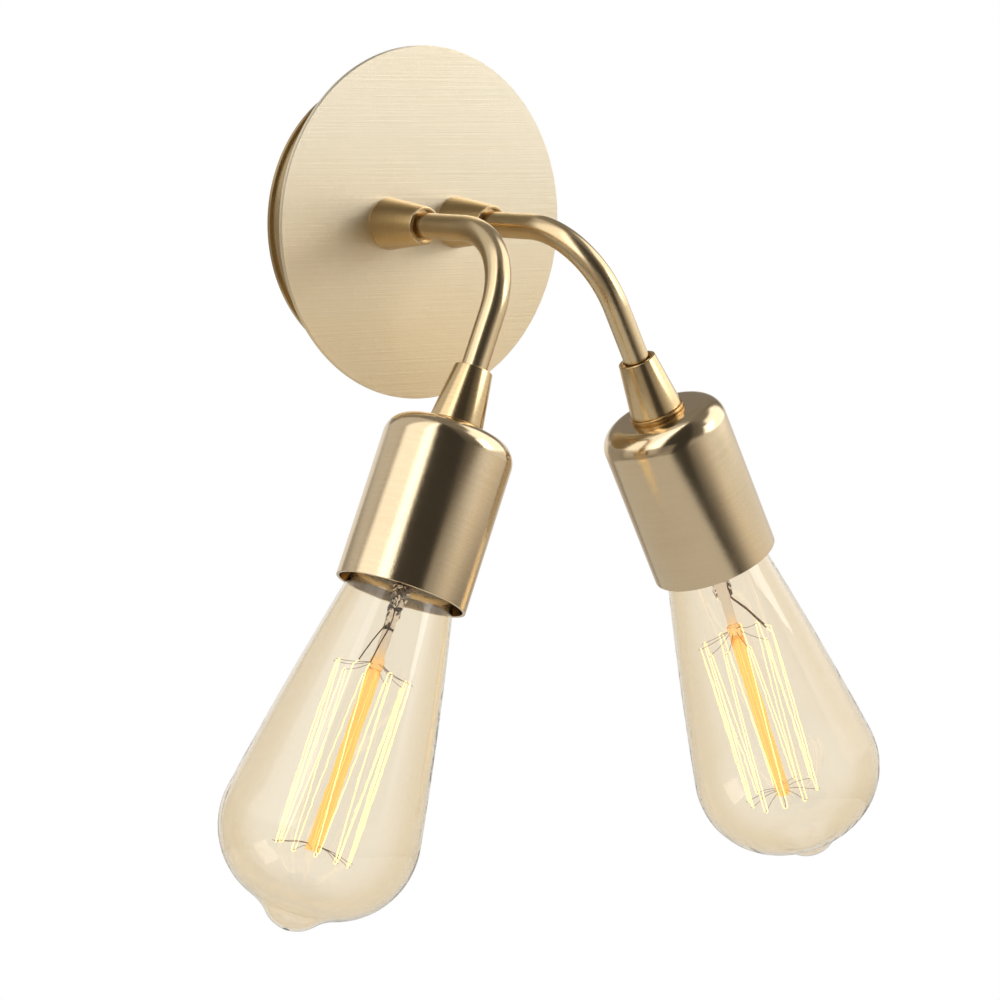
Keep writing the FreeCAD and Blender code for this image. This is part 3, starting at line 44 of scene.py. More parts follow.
# The camera stands to the left of the light and a little above the bulbs, far enough away
# for a long lens. The wall is y = 0 and the light stands out of it towards -Y.
CAMERA_PLACE = Vector((-812.8, -1047.2, 53.3)) * MM
CAMERA_YAW, CAMERA_PITCH, CAMERA_ROLL = -39.596, -6.453, -0.613
CAMERA_FOCUS = 3.8366
camera = bpy.data.objects.new("camera", bpy.data.cameras.new("camera"))
camera.data.sensor_width = 36.0
camera.data.lens = CAMERA_FOCUS * camera.data.sensor_width
camera.data.clip_start = 0.05
camera.matrix_world = (
    Matrix.Translation(CAMERA_PLACE)
    @ Matrix.Rotation(math.radians(CAMERA_YAW), 4, "Z")
    @ Matrix.Rotation(math.radians(CAMERA_PITCH), 4, "X")
    @ Matrix.Rotation(math.radians(CAMERA_ROLL), 4, "Y")
    @ Matrix.Rotation(math.radians(90), 4, "X")
)
bpy.context.scene.collection.objects.link(camera)
bpy.context.scene.camera = camera
bpy.context.scene.view_settings.view_transform = "Standard"


class Signal:
    """One output of a shader node. Arithmetic on it adds Math nodes."""

    def __init__(self, tree, socket):
        self.tree = tree
        self.socket = socket

    @classmethod
    def node(cls, tree, kind, settings=None, outlet=None, **inlets):
        """A new node: its settings first, then the values or links of its named sockets."""
        made = tree.nodes.new("ShaderNode" + kind)
        for name, setting in (settings or {}).items():
            setattr(made, name, setting)
        for name, inlet in inlets.items():
            if name.startswith("at_"):
                socket = made.inputs[int(name[3:])]
            else:
                fits = [s for s in made.inputs if s.enabled and s.name.replace(" ", "_") == name]
                socket = fits[0]
            if isinstance(inlet, cls):
                tree.links.new(inlet.socket, socket)
            else:
                socket.default_value = inlet
        if outlet is None:
            shown = [s for s in made.outputs if s.enabled]
            return cls(tree, shown[0]) if shown else None
        return cls(tree, made.outputs[outlet])

    def maths(self, operation, first, second):
        """A Math node on two values."""
        return Signal.node(self.tree, "Math", {"operation": operation}, at_0=first, at_1=second)

    def __add__(self, other):
        return self.maths("ADD", self, other)

    def __radd__(self, other):
        return self.maths("ADD", other, self)

    def __sub__(self, other):
        return self.maths("SUBTRACT", self, other)

    def __rsub__(self, other):
        return self.maths("SUBTRACT", other, self)

    def __mul__(self, other):
        return self.maths("MULTIPLY", self, other)

    def __rmul__(self, other):
        return self.maths("MULTIPLY", other, self)

    def larger(self, other):
        """The larger of two signals."""
        return self.maths("MAXIMUM", self, other)

    def parts(self):
        """The three parts of a vector, each a signal."""
        split = Signal.node(self.tree, "SeparateXYZ", Vector=self).socket.node
        return [Signal(self.tree, output) for output in split.outputs]

    def rise(self, low, high):
        """0 below low, 1 above high, and a smooth step between them."""
        return Signal.node(self.tree, "MapRange", {"interpolation_type": "SMOOTHSTEP"},
                           Value=self, From_Min=low, From_Max=high)

    def band(self, low, high, soft):
        """1 between two values, and 0 outside them, with soft edges."""
        half = soft / 2
        return self.rise(low - half, low + half) * (1 - self.rise(high - half, high + half))

    def blend(self, first, second):
        """A colour between two, by this signal."""
        return Signal.node(self.tree, "Mix", {"data_type": "RGBA"}, Factor=self, A=first, B=second)


def straight_rays(tree):
    """1 for rays from the camera and rays through glass, and 0 for all others."""
    seen = Signal.node(tree, "LightPath", outlet="Is Camera Ray")
    return seen.larger(Signal.node(tree, "LightPath", outlet="Is Transmission Ray"))


# The studio: a white room to the camera and through the glass. The metal sees what the room
# holds, in degrees round the light and above it: a high soft box on the left, a dark opening
# beside it, a pale screen in front on the right, a second high box over it, a dim wall behind.
world = bpy.data.worlds.new("studio")
bpy.context.scene.world = world
world.use_nodes = True
world.node_tree.nodes.clear()
sky = world.node_tree
across, away, upward = Signal.node(sky, "TexCoord", outlet="Generated").parts()
azimuth = Signal.node(sky, "Math", {"operation": "ARCTAN2"}, at_0=across, at_1=0 - away)
azimuth = azimuth * (180 / math.pi)
elevation = Signal.node(sky, "Math", {"operation": "ARCSINE"}, at_0=upward) * (180 / math.pi)
high = elevation.rise(6, 16)
low = 1 - elevation.rise(-28, -3)
middle = 1 - high - low
left_box = azimuth.band(-132, -64, 12)
left_strip = azimuth.band(-86, -63, 5)
left_rear = 1 - azimuth.rise(-144, -124)
low_left = azimuth.band(-64, -34, 10) * (low + middle * 0.6)
screen = azimuth.rise(-9, 3) * 0.36 + azimuth.rise(0, 44) * 0.54
screen = screen * (1 - azimuth.rise(108, 120))
right_box = azimuth.band(38, 106, 10) * elevation.band(9, 56, 8)
right_rear = azimuth.rise(108, 124)
studio = (0.05 + left_box * (low * 0.2 + middle * 0.5 + high * 1.3) + left_strip * high * 0.9
          + left_rear * (0.3 + high * 0.28) + low_left * 0.34
          + screen * (middle * 0.8 + high * 0.15 + 0.05)
          + right_box * 1.35 + right_rear * (0.2 + middle * 0.62))
warmth = studio.rise(0.0, 0.9) * elevation.rise(-9, 3)
warmth = warmth.blend((1.0, 0.92, 0.82, 1.0), (1.0, 0.99, 0.975, 1.0))
surround = Signal.node(sky, "Background", Color=warmth, Strength=studio)
white = Signal.node(sky, "Background", Color=(1.0, 1.0, 1.0, 1.0), Strength=1.0)
shown = Signal.node(sky, "MixShader", at_0=straight_rays(sky), at_1=surround, at_2=white)
Signal.node(sky, "OutputWorld", Surface=shown)

# A key lamp above and to the right puts the soft shadows under the cones, and its window
# shows on the bulbs.
key = bpy.data.objects.new("key", bpy.data.lights.new("key", "AREA"))
key.data.shape = "RECTANGLE"
key.data.energy = 2.3
key.data.size, key.data.size_y = 0.62, 0.62
key.location = (0.85, -1.0, 0.5)
key.rotation_euler = (key.location - Vector((0, 0, -0.05))).to_track_quat("Z", "Y").to_euler()
bpy.context.scene.collection.objects.link(key)

# The floor is a pale disc well below the light, white to the camera but for a soft shadow.
FLOOR_RADIUS, FLOOR_HEIGHT, FLOOR_RINGS, FLOOR_SIDES, FLOOR_WHITENESS = 0.9, -0.55, 6, 64, 0.9
floor_mesh = bpy.data.meshes.new("floor")
corners = [(0, 0, FLOOR_HEIGHT)]
for ring in range(1, FLOOR_RINGS + 1):
    for step in range(FLOOR_SIDES):
        angle = 2 * math.pi * step / FLOOR_SIDES
        reach = FLOOR_RADIUS * ring / FLOOR_RINGS
        corners.append((reach * math.cos(angle), reach * math.sin(angle), FLOOR_HEIGHT))
quads = [(0, 1 + step, 1 + (step + 1) % FLOOR_SIDES) for step in range(FLOOR_SIDES)]
for ring in range(FLOOR_RINGS - 1):
    first, second = 1 + ring * FLOOR_SIDES, 1 + (ring + 1) * FLOOR_SIDES
    for step in range(FLOOR_SIDES):
        following = (step + 1) % FLOOR_SIDES
        quads.append((first + step, second + step, second + following, first + following))
floor_mesh.from_pydata(corners, [], quads)
floor = bpy.data.objects.new("floor", floor_mesh)
bpy.context.scene.collection.objects.link(floor)
paper = bpy.data.materials.new("floor_paper")
paper.use_nodes = True
paper.node_tree.nodes.clear()
matt = Signal.node(paper.node_tree, "BsdfDiffuse", Color=(0.8, 0.79, 0.77, 1.0))
bright = Signal.node(paper.node_tree, "Emission", Color=(1.0, 1.0, 1.0, 1.0), Strength=1.0)
share = straight_rays(paper.node_tree) * FLOOR_WHITENESS
shown = Signal.node(paper.node_tree, "MixShader", at_0=share, at_1=matt, at_2=bright)
Signal.node(paper.node_tree, "OutputMaterial", Surface=shown)
floor_mesh.materials.append(paper)


# The canopy's face plate is a thin spun brass disc, brushed from side to side. The two
# hollow threads pass through it, and the cones hold it against the drum behind.


def new_finish(name):
    """A material with an empty tree."""
    material = bpy.data.materials.new(name)
    material.use_nodes = True
    material.node_tree.nodes.clear()
    return material, material.node_tree


def close_finish(tree, **sockets):
    """A Principled shader with these sockets, as the material's surface."""
    surface = Signal.node(tree, "BsdfPrincipled", **sockets)
    Signal.node(tree, "OutputMaterial", Surface=surface)


def grain(tree, scale, detail=3.0, roughness=0.6):
    """Fractal noise in the piece's own coordinates, stretched by a scale for each axis."""
    coordinates = Signal.node(tree, "TexCoord", outlet="Object")
    stretched = Signal.node(tree, "Mapping", Vector=coordinates, Scale=scale)
    return Signal.node(tree, "TexNoise", Vector=stretched, Scale=1.0, Detail=detail,
                       Roughness=roughness)


def paint(material, *pieces):
    """Give pieces one material, whether they are CAD nodes by name or new meshes."""
    for piece in pieces:
        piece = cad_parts[piece] if isinstance(piece, str) else piece
        piece.data.materials.clear()
        piece.data.materials.append(material)


plate_brass, tree = new_finish("plate_brass")
lines = grain(tree, (14.0, 1600.0, 2400.0), 4.0, 0.8)
cloud = grain(tree, (16.0, 16.0, 26.0), 2.0, 0.5)
# Painted highlight: the base colour is painted lighter towards the top of the plate, on top of the
# brush lines and cloud, which are the metal's own grain.
height = Signal.node(tree, "TexCoord", outlet="Object").parts()[2]
grain_and_painted_highlight = (lines - 0.5) * 0.6 + (cloud - 0.5) * 0.5 + height.rise(-0.06, 0.05) * 0.7 + 0.15
close_finish(
    tree,
    Base_Color=grain_and_painted_highlight.blend((0.93, 0.75, 0.47, 1.0), (0.98, 0.91, 0.74, 1.0)),
    Metallic=1.0,
    Roughness=0.42 + (lines - 0.5) * 0.2,
    Normal=Signal.node(tree, "Bump", Height=lines, Strength=0.22, Distance=0.0003),
)
paint(plate_brass, "canopy_face_plate")

# The drum behind the plate is a deep spun brass pan with a small turned lip at the wall. Its
# side shows fine lathe lines, and it is a darker, olive satin than the plate.
drum_brass, tree = new_finish("drum_brass")
lathe = grain(tree, (30.0, 2600.0, 30.0), 3.0, 0.7)
stain = grain(tree, (40.0, 40.0, 40.0), 3.0, 0.55)
close_finish(
    tree,
    Base_Color=((lathe - 0.5) * 0.5 + stain).blend((0.50, 0.36, 0.18, 1.0),
                                                   (0.74, 0.58, 0.34, 1.0)),
    Metallic=1.0,
    Roughness=0.27 + (lathe - 0.5) * 0.12,
    Normal=Signal.node(tree, "Bump", Height=lathe, Strength=0.08, Distance=0.0003),
)
paint(drum_brass, "canopy_drum")

# What the canopy hides is plain hardware: a zinc plated crossbar and its screws, washers and
# locknuts, all with the faint spangle and scuffs of plated steel.
zinc, tree = new_finish("zinc_plate")
spangle = Signal.node(tree, "TexVoronoi", Vector=Signal.node(tree, "TexCoord", outlet="Object"),
                      Scale=420.0)
scuffs = grain(tree, (300.0, 300.0, 900.0), 4.0, 0.7)
close_finish(
    tree,
    Base_Color=(spangle * 0.5 + scuffs * 0.5).blend((0.55, 0.57, 0.60, 1.0),
                                                    (0.80, 0.80, 0.79, 1.0)),
    Metallic=1.0,
    Roughness=0.28 + scuffs * 0.2,
    Normal=Signal.node(tree, "Bump", Height=scuffs, Strength=0.08, Distance=0.0002),
)
paint(zinc, "wall_crossbar", "canopy_side_screws", "nipple_washers", "nipple_locknuts",
      "terminal_block_screws")
for side in ("left", "right"):
    paint(zinc, side + "_hollow_nipple", side + "_swivel_washer", side + "_cup_nipple",
          side + "_cup_locknut")

# The earth screw is brass, as are the collars on the tubes' ends and, in the lampholders, the
# screw shells, the contacts and the terminals' screws.
screw_brass, tree = new_finish("screw_brass")
scuffs = grain(tree, (700.0, 700.0, 700.0), 4.0, 0.7)
close_finish(
    tree,
    Base_Color=scuffs.blend((0.58, 0.42, 0.18, 1.0), (0.88, 0.70, 0.36, 1.0)),
    Metallic=1.0,
    Roughness=0.22 + scuffs * 0.2,
    Normal=Signal.node(tree, "Bump", Height=scuffs, Strength=0.08, Distance=0.0002),
)
paint(screw_brass, "earth_screw")
for side in ("left", "right"):
    paint(screw_brass, side + "_centre_contact", side + "_terminal_screws",
          side + "_screw_shell", side + "_swivel_collar")

# The terminal block is moulded in a pale, slightly mottled insulating plastic.
block_plastic, tree = new_finish("block_plastic")
mottle = grain(tree, (260.0, 260.0, 260.0), 4.0, 0.6)
close_finish(
    tree,
    Base_Color=mottle.blend((0.80, 0.78, 0.70, 1.0), (0.90, 0.89, 0.83, 1.0)),
    Roughness=0.42 + mottle * 0.16,
    Normal=Signal.node(tree, "Bump", Height=mottle, Strength=0.12, Distance=0.0002),
)
paint(block_plastic, "terminal_block")

# The leads are single wires in braided heat resisting sleeves.
sleeve, tree = new_finish("braided_sleeve")
coordinates = Signal.node(tree, "TexCoord", outlet="Object")
weave = None
for slant in ((1.0, 1.0, 1.0), (1.0, -1.0, 1.0)):
    strands = Signal.node(tree, "Mapping", Vector=coordinates, Scale=slant)
    strands = Signal.node(tree, "TexWave", {"bands_direction": "DIAGONAL"}, Vector=strands,
                          Scale=900.0, Distortion=0.4)
    weave = strands if weave is None else weave.larger(strands)
close_finish(
    tree,
    Base_Color=weave.blend((0.62, 0.58, 0.48, 1.0), (0.84, 0.81, 0.72, 1.0)),
    Roughness=0.72 + weave * 0.1,
    Normal=Signal.node(tree, "Bump", Height=weave, Strength=0.4, Distance=0.0002),
)
paint(sleeve, "canopy_leads", "left_arm_leads", "right_arm_leads")


# The four cones are turned from brass bar and satin finished: two are screwed over the hollow
# threads on the canopy, base to the plate, and two sit on the cups, with a bright ring round
# the tip where the tube enters.
CANOPY_DEPTH, ARM_SPACING, NIPPLE_DIAMETER, NIPPLE_REACH = 22.2, 29.0, 13.0, 7.0
CONE_LENGTH, CONE_BASE, CONE_TIP, CONE_LIP_WIDTH, CONE_LIP_DEPTH = 19.1, 17.9, 12.8, 1.1, 1.5
TUBE_DIAMETER, RUNNING_CLEARANCE = 8.75, 0.05
COLLAR_REAR, COLLAR_DIAMETER, CHAMBER_FRONT = 29.35, 11.7, 34.9
SIDES = {"left": -1, "right": 1}
SPLAY = {"left": 24.6, "right": 25.8}
CUP_CONE_UP, CUP_CONE_OUT, BEND_ANGLE = -48.216, 62.98, 87.2
CUP_NIPPLE, TUBE_INSERT = 10.0, 10.0
LATHE_SEGMENTS, ROUNDING_STEPS, SHOULDER_STEPS, SHOULDER_ROUNDING = 160, 5, 15, 2.0
out_of_wall = Matrix.Rotation(math.radians(90), 4, "X")


def along(distance):
    """A step along the third axis."""
    return Matrix.Translation((0, 0, distance))


def arm_frame(side, height):
    """An arm's own axes: out of the wall, and turned by its splay."""
    turn = Matrix.Rotation(math.radians(SIDES[side] * SPLAY[side]), 4, "Z")
    start = Matrix.Translation((SIDES[side] * ARM_SPACING / 2, 0, 0))
    return start @ out_of_wall @ turn @ along(height)


def cup_frame(side, station=0.0):
    """The axes of a cup, from the tip of its cone towards the bulb."""
    tip = Matrix.Translation((0, CUP_CONE_UP, CUP_CONE_OUT))
    lean = Matrix.Rotation(math.radians(BEND_ANGLE), 4, "X")
    return arm_frame(side, COLLAR_REAR) @ tip @ lean @ along(station)


def place_mesh(name, vertices, faces, place, sharp=35):
    """A smooth mesh from its corners in millimetres, put in its place in the light."""
    mesh = bpy.data.meshes.new(name)
    mesh.from_pydata([Vector(vertex) * MM for vertex in vertices], [], faces)
    mesh.validate()
    mesh.polygons.foreach_set("use_smooth", [True] * len(mesh.polygons))
    mesh.set_sharp_from_angle(angle=math.radians(sharp))
    piece = bpy.data.objects.new(name, mesh)
    bpy.context.scene.collection.objects.link(piece)
    placed = place.copy()
    placed.translation = placed.translation * MM
    piece.matrix_world = placed
    return piece


def softened(corners):
    """Half a turned piece's outline, with each corner rounded by its third number."""
    outline = []
    count = len(corners)
    for index, (radius, height, rounding) in enumerate(corners):
        here = Vector((radius, height))
        if not rounding:
            outline.append(here)
            continue
        before = (Vector(corners[index - 1][:2]) - here).normalized()
        after = (Vector(corners[(index + 1) % count][:2]) - here).normalized()
        half = before.angle(after) / 2
        setback = rounding / math.tan(half)
        centre = here + (before + after).normalized() * (rounding / math.sin(half))
        first, last = here + before * setback - centre, here + after * setback - centre
        turns = SHOULDER_STEPS if rounding > SHOULDER_ROUNDING else ROUNDING_STEPS
        for step in range(turns + 1):
            outline.append(centre + first.slerp(last, step / turns).normalized() * rounding)
    return outline


def lathed(name, outline, place, segments=LATHE_SEGMENTS):
    """A closed ring of revolution about its own Z axis, from a closed half outline."""
    vertices, faces = [], []
    for radius, height in outline:
        for step in range(segments):
            angle = 2 * math.pi * step / segments
            vertices.append((radius * math.cos(angle), radius * math.sin(angle), height))
    for ring in range(len(outline)):
        lower, upper = ring * segments, (ring + 1) % len(outline) * segments
        for step in range(segments):
            following = (step + 1) % segments
            faces.append((lower + step, lower + following, upper + following, upper + step))
    return place_mesh(name, vertices, faces, place)


def fit(piece, node, body):
    """The piece stands for a node, which it hides, and moves with its body."""
    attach(piece, body)
    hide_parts(node)
    return piece


cone_brass, tree = new_finish("cone_brass")
turning = grain(tree, (60.0, 60.0, 3000.0), 3.0, 0.7)
speckle = grain(tree, (1500.0, 1500.0, 1500.0), 2.0, 0.6)
close_finish(
    tree,
    Base_Color=(turning * 0.5 + speckle * 0.5).blend((0.58, 0.41, 0.19, 1.0),
                                                     (0.90, 0.70, 0.42, 1.0)),
    Metallic=1.0,
    Roughness=0.20 + (turning - 0.5) * 0.08,
    Normal=Signal.node(tree, "Bump", Height=turning + speckle, Strength=0.03, Distance=0.0002),
)
base, tip, lip = CONE_BASE / 2, CONE_TIP / 2, CONE_TIP / 2 - CONE_LIP_WIDTH
bore, thread = TUBE_DIAMETER / 2 + RUNNING_CLEARANCE, NIPPLE_DIAMETER / 2
chamber = COLLAR_DIAMETER / 2 + RUNNING_CLEARANCE
for side in SIDES:
    outline = softened([
        (thread, 0.0, 0.0), (base, 0.0, 0.35), (tip, CONE_LENGTH, 0.3),
        (lip, CONE_LENGTH, 0.25), (lip, CONE_LENGTH - CONE_LIP_DEPTH, 0.0),
        (bore, CONE_LENGTH - CONE_LIP_DEPTH, 0.0),
        (bore, CHAMBER_FRONT - CANOPY_DEPTH, 0.0), (chamber, CHAMBER_FRONT - CANOPY_DEPTH, 0.0),
        (chamber, NIPPLE_REACH, 0.0), (thread, NIPPLE_REACH, 0.0),
    ])
    place = Matrix.Translation((SIDES[side] * ARM_SPACING / 2, 0, 0)) @ out_of_wall
    cone = lathed(side + "_canopy_cone_turned", outline, place @ along(CANOPY_DEPTH))
    paint(cone_brass, fit(cone, side + "_canopy_cone", "canopy"))
    seat = CONE_LENGTH - TUBE_INSERT
    outline = softened([
        (CUP_NIPPLE / 2, 0.0, 0.0), (base, 0.0, 0.35), (tip, CONE_LENGTH, 0.3),
        (lip, CONE_LENGTH, 0.25), (lip, CONE_LENGTH - CONE_LIP_DEPTH, 0.0),
        (TUBE_DIAMETER / 2, CONE_LENGTH - CONE_LIP_DEPTH, 0.0),
        (TUBE_DIAMETER / 2, seat, 0.0), (CUP_NIPPLE / 2, seat, 0.0),
    ])
    over = Matrix.Rotation(math.radians(180), 4, "X")
    cone = lathed(side + "_cup_cone_turned", outline, cup_frame(side, CONE_LENGTH) @ over)
    paint(cone_brass, fit(cone, side + "_cup_cone", side + "_arm"))

# A plain turned ring, a little wider and redder than the cone, lies between cone and cup.
RING_DIAMETER, RING_THICKNESS = 18.8, 1.5
ring_brass, tree = new_finish("ring_brass")
turning = grain(tree, (60.0, 60.0, 3000.0), 3.0, 0.7)
close_finish(
    tree,
    Base_Color=turning.blend((0.56, 0.35, 0.13, 1.0), (0.80, 0.55, 0.26, 1.0)),
    Metallic=1.0,
    Roughness=0.22 + turning * 0.1,
    Normal=Signal.node(tree, "Bump", Height=turning, Strength=0.08, Distance=0.0003),
)
for side in SIDES:
    inner, outer, top = CUP_NIPPLE / 2, RING_DIAMETER / 2, CONE_LENGTH + RING_THICKNESS
    ring = lathed(side + "_cup_ring_turned", softened([
        (inner, CONE_LENGTH, 0.0), (outer, CONE_LENGTH, 0.35), (outer, top, 0.35),
        (inner, top, 0.0),
    ]), cup_frame(side))
    paint(ring_brass, fit(ring, side + "_cup_ring", side + "_arm"))


# Each arm is one brass tube, bent once through a right angle and satin polished along its
# length. It turns in the canopy cone and is fixed in the cup cone.
tube_brass, tree = new_finish("tube_brass")
polish = grain(tree, (700.0, 700.0, 700.0), 3.0, 0.6)
drift = grain(tree, (45.0, 45.0, 45.0), 2.0, 0.5)
close_finish(
    tree,
    Base_Color=(polish * 0.25 + drift * 0.75).blend((0.64, 0.48, 0.26, 1.0),
                                                    (0.88, 0.71, 0.46, 1.0)),
    Metallic=1.0,
    Roughness=0.24 + (polish - 0.5) * 0.05,
    Normal=Signal.node(tree, "Bump", Height=polish, Strength=0.02, Distance=0.0002),
)
for side in SIDES:
    paint(tube_brass, side + "_arm_tube")


# The cups are spun brass, with a round shoulder and a mouth that is cut square and deburred.
# The satin finish has a fine speckle and faint lines round the cup, and it holds the lampholder.
CUP_DIAMETER, CUP_LENGTH, CUP_WALL, CUP_SHOULDER, CUP_SEGMENTS = 43.1, 56.6, 1.0, 7.5, 224
CUP_HOLE = CUP_NIPPLE / 2 + 0.2
cup_brass, tree = new_finish("cup_brass")
turning = grain(tree, (30.0, 30.0, 2400.0), 3.0, 0.7)
speckle = grain(tree, (1700.0, 1700.0, 1700.0), 3.0, 0.65)
patina = grain(tree, (45.0, 45.0, 45.0), 3.0, 0.6)
close_finish(
    tree,
    Base_Color=(turning * 0.3 + speckle * 0.4 + patina * 0.3).blend(
        (0.62, 0.47, 0.28, 1.0), (0.94, 0.78, 0.54, 1.0)),
    Metallic=1.0,
    Roughness=0.15 + (speckle - 0.5) * 0.12 + (patina - 0.5) * 0.08,
    Normal=Signal.node(tree, "Bump", Height=speckle + turning * 0.5, Strength=0.06,
                       Distance=0.0003),
)
for side in SIDES:
    top = CONE_LENGTH + RING_THICKNESS
    mouth, outer = top + CUP_LENGTH, CUP_DIAMETER / 2
    inner, ceiling = outer - CUP_WALL, top + CUP_WALL
    cup = lathed(side + "_lampholder_cup_spun", softened([
        (CUP_HOLE, top, 0.0), (outer, top, CUP_SHOULDER), (outer, mouth, 0.12),
        (inner, mouth, 0.12), (inner, ceiling, CUP_SHOULDER - CUP_WALL), (CUP_HOLE, ceiling, 0.0),
    ]), cup_frame(side), segments=CUP_SEGMENTS)
    paint(cup_brass, fit(cup, side + "_lampholder_cup", side + "_arm"))

# The lampholder inside each cup is a dark moulded body round a brass screw shell.
holder, tree = new_finish("moulded_holder")
mould = grain(tree, (500.0, 500.0, 500.0), 3.0, 0.6)
close_finish(
    tree,
    Base_Color=mould.blend((0.030, 0.024, 0.020, 1.0), (0.075, 0.062, 0.052, 1.0)),
    Roughness=0.30 + mould * 0.15,
    Normal=Signal.node(tree, "Bump", Height=mould, Strength=0.08, Distance=0.0002),
)
for side in SIDES:
    paint(holder, side + "_lampholder_body")


# The bulb's cap is thin rolled brass of an orange tone. A dark glass button
# and a soldered contact close its end.
cap_brass, tree = new_finish("cap_brass")
rolling = grain(tree, (500.0, 500.0, 500.0), 4.0, 0.65)
close_finish(
    tree,
    Base_Color=rolling.blend((0.62, 0.36, 0.12, 1.0), (0.90, 0.62, 0.30, 1.0)),
    Metallic=1.0,
    Roughness=0.20 + rolling * 0.2,
    Normal=Signal.node(tree, "Bump", Height=rolling, Strength=0.1, Distance=0.0002),
)
button, tree = new_finish("button_glass")
ripple = grain(tree, (220.0, 220.0, 220.0), 3.0, 0.5)
close_finish(
    tree,
    Base_Color=ripple.blend((0.012, 0.008, 0.014, 1.0), (0.05, 0.035, 0.055, 1.0)),
    Roughness=0.08 + ripple * 0.08,
    Normal=Signal.node(tree, "Bump", Height=ripple, Strength=0.1, Distance=0.0003),
)
solder, tree = new_finish("solder")
dull = grain(tree, (600.0, 600.0, 600.0), 4.0, 0.7)
close_finish(
    tree,
    Base_Color=dull.blend((0.45, 0.45, 0.46, 1.0), (0.76, 0.76, 0.75, 1.0)),
    Metallic=1.0,
    Roughness=0.34 + dull * 0.25,
    Normal=Signal.node(tree, "Bump", Height=dull, Strength=0.3, Distance=0.0003),
)
for side in SIDES:
    paint(cap_brass, side + "_bulb_cap")
    paint(button, side + "_cap_insulator")
    paint(solder, side + "_cap_contact")


# The envelope is blown glass with a thin amber lustre, deeper where it is seen edge on. It is
# gathered into a nib at the tip. The skin is a copy of the modelled glass, welded and smooth.
WELD, GLASS_CREASE = 0.002, 50
amber, tree = new_finish("amber_glass")
facing = Signal.node(tree, "LayerWeight", Blend=0.5, outlet="Facing")
waves = grain(tree, (45.0, 45.0, 45.0), 2.0, 0.5)
close_finish(
    tree,
    Base_Color=facing.rise(0.12, 0.5).blend((0.935, 0.88, 0.775, 1.0),
                                            (0.84, 0.735, 0.56, 1.0)),
    Roughness=0.0,
    IOR=1.52,
    Transmission_Weight=1.0,
    Normal=Signal.node(tree, "Bump", Height=waves, Strength=0.06, Distance=0.001),
)
for side in SIDES:
    node = side + "_bulb_glass"
    envelope = bpy.data.objects.new(side + "_bulb_envelope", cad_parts[node].data.copy())
    envelope.matrix_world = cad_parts[node].matrix_world.copy()
    bpy.context.scene.collection.objects.link(envelope)
    skin = bmesh.new()
    skin.from_mesh(envelope.data)
    bmesh.ops.remove_doubles(skin, verts=skin.verts, dist=WELD * MM)
    skin.to_mesh(envelope.data)
    skin.free()
    envelope.data.polygons.foreach_set("use_smooth", [True] * len(envelope.data.polygons))
    envelope.data.set_sharp_from_angle(angle=math.radians(GLASS_CREASE))
    paint(amber, fit(envelope, node, side + "_bulb"))

# The mount inside each bulb is clear glass: a flared foot in the neck, a press pinched flat
# and crinkled while hot, and a rod with two buttons. The filament's amber glow on the rod is painted.
CAP_RIM = 71.2
GLASS_SEAT = {"left": -1.3, "right": 1.2}
GLASS_LEAN_IN = {"left": -0.3, "right": 2.9}
GLASS_LEAN_BACK = {"left": 1.0, "right": -0.35}
MOUNT_LEAN = {"left": 0.0, "right": 2.8}
MOUNT_TURN = {"left": 150.0, "right": 35.0}
STEM_FOOT, STEM_FOOT_RADIUS, STEM_RADIUS = 3.4, 10.55, 3.2
PRESS_START, PRESS_END, PRESS_WIDTH, PRESS_THICKNESS = 5.0, 18.0, 11.6, 3.2
PRESS_TIP_WIDTH, PRESS_RIPPLE, LIT_ROD_RADIUS = 6.0, 0.36, 2.4
ROD_RADIUS, HUB_RADIUS, HUB_HALF, TOP_HUB, BOTTOM_HUB = 1.7, 2.5, 2.0, 31.0, 91.5
STEM_SEGMENTS, FLARE_STEPS, PRESS_STEPS, ROD_STEPS, HUB_STEPS = 64, 8, 24, 11, 8
PIVOT_INSET, FOOT_EDGE, FOOT_LIP, FLARE_START, FLARE_CURVE = 0.4, 0.4, 0.3, 0.8, 0.6
PRESS_WIDEST, PRESS_SWELL, PRESS_FLATTENING = 0.3, 1.7, 5
ROD_ROOT, ROOT_WIDTH, ROOT_DEPTH, ROD_GAP, HUB_GAP = 0.9, 1.15, 1.05, 0.5, 0.7
ROD_WOBBLE, ROD_WAVE, HUB_CURVE = 0.03, 0.9, 0.4


def glass_frame(side):
    """The axes of a bulb's glass, from the rim of its cap, with its small lean."""
    lean_in = Matrix.Rotation(math.radians(-SIDES[side] * GLASS_LEAN_IN[side]), 4, "Y")
    lean_back = Matrix.Rotation(math.radians(GLASS_LEAN_BACK[side]), 4, "X")
    return cup_frame(side, CAP_RIM + GLASS_SEAT[side]) @ lean_in @ lean_back


def mount_frame(side):
    """The axes of the glass mount: it leans about its foot and is turned in the neck."""
    pivot = STEM_FOOT - PIVOT_INSET
    lean = Matrix.Rotation(math.radians(-SIDES[side] * MOUNT_LEAN[side]), 4, "Y")
    turn = Matrix.Rotation(math.radians(MOUNT_TURN[side]), 4, "Z")
    return glass_frame(side) @ along(-pivot) @ lean @ turn @ along(pivot)


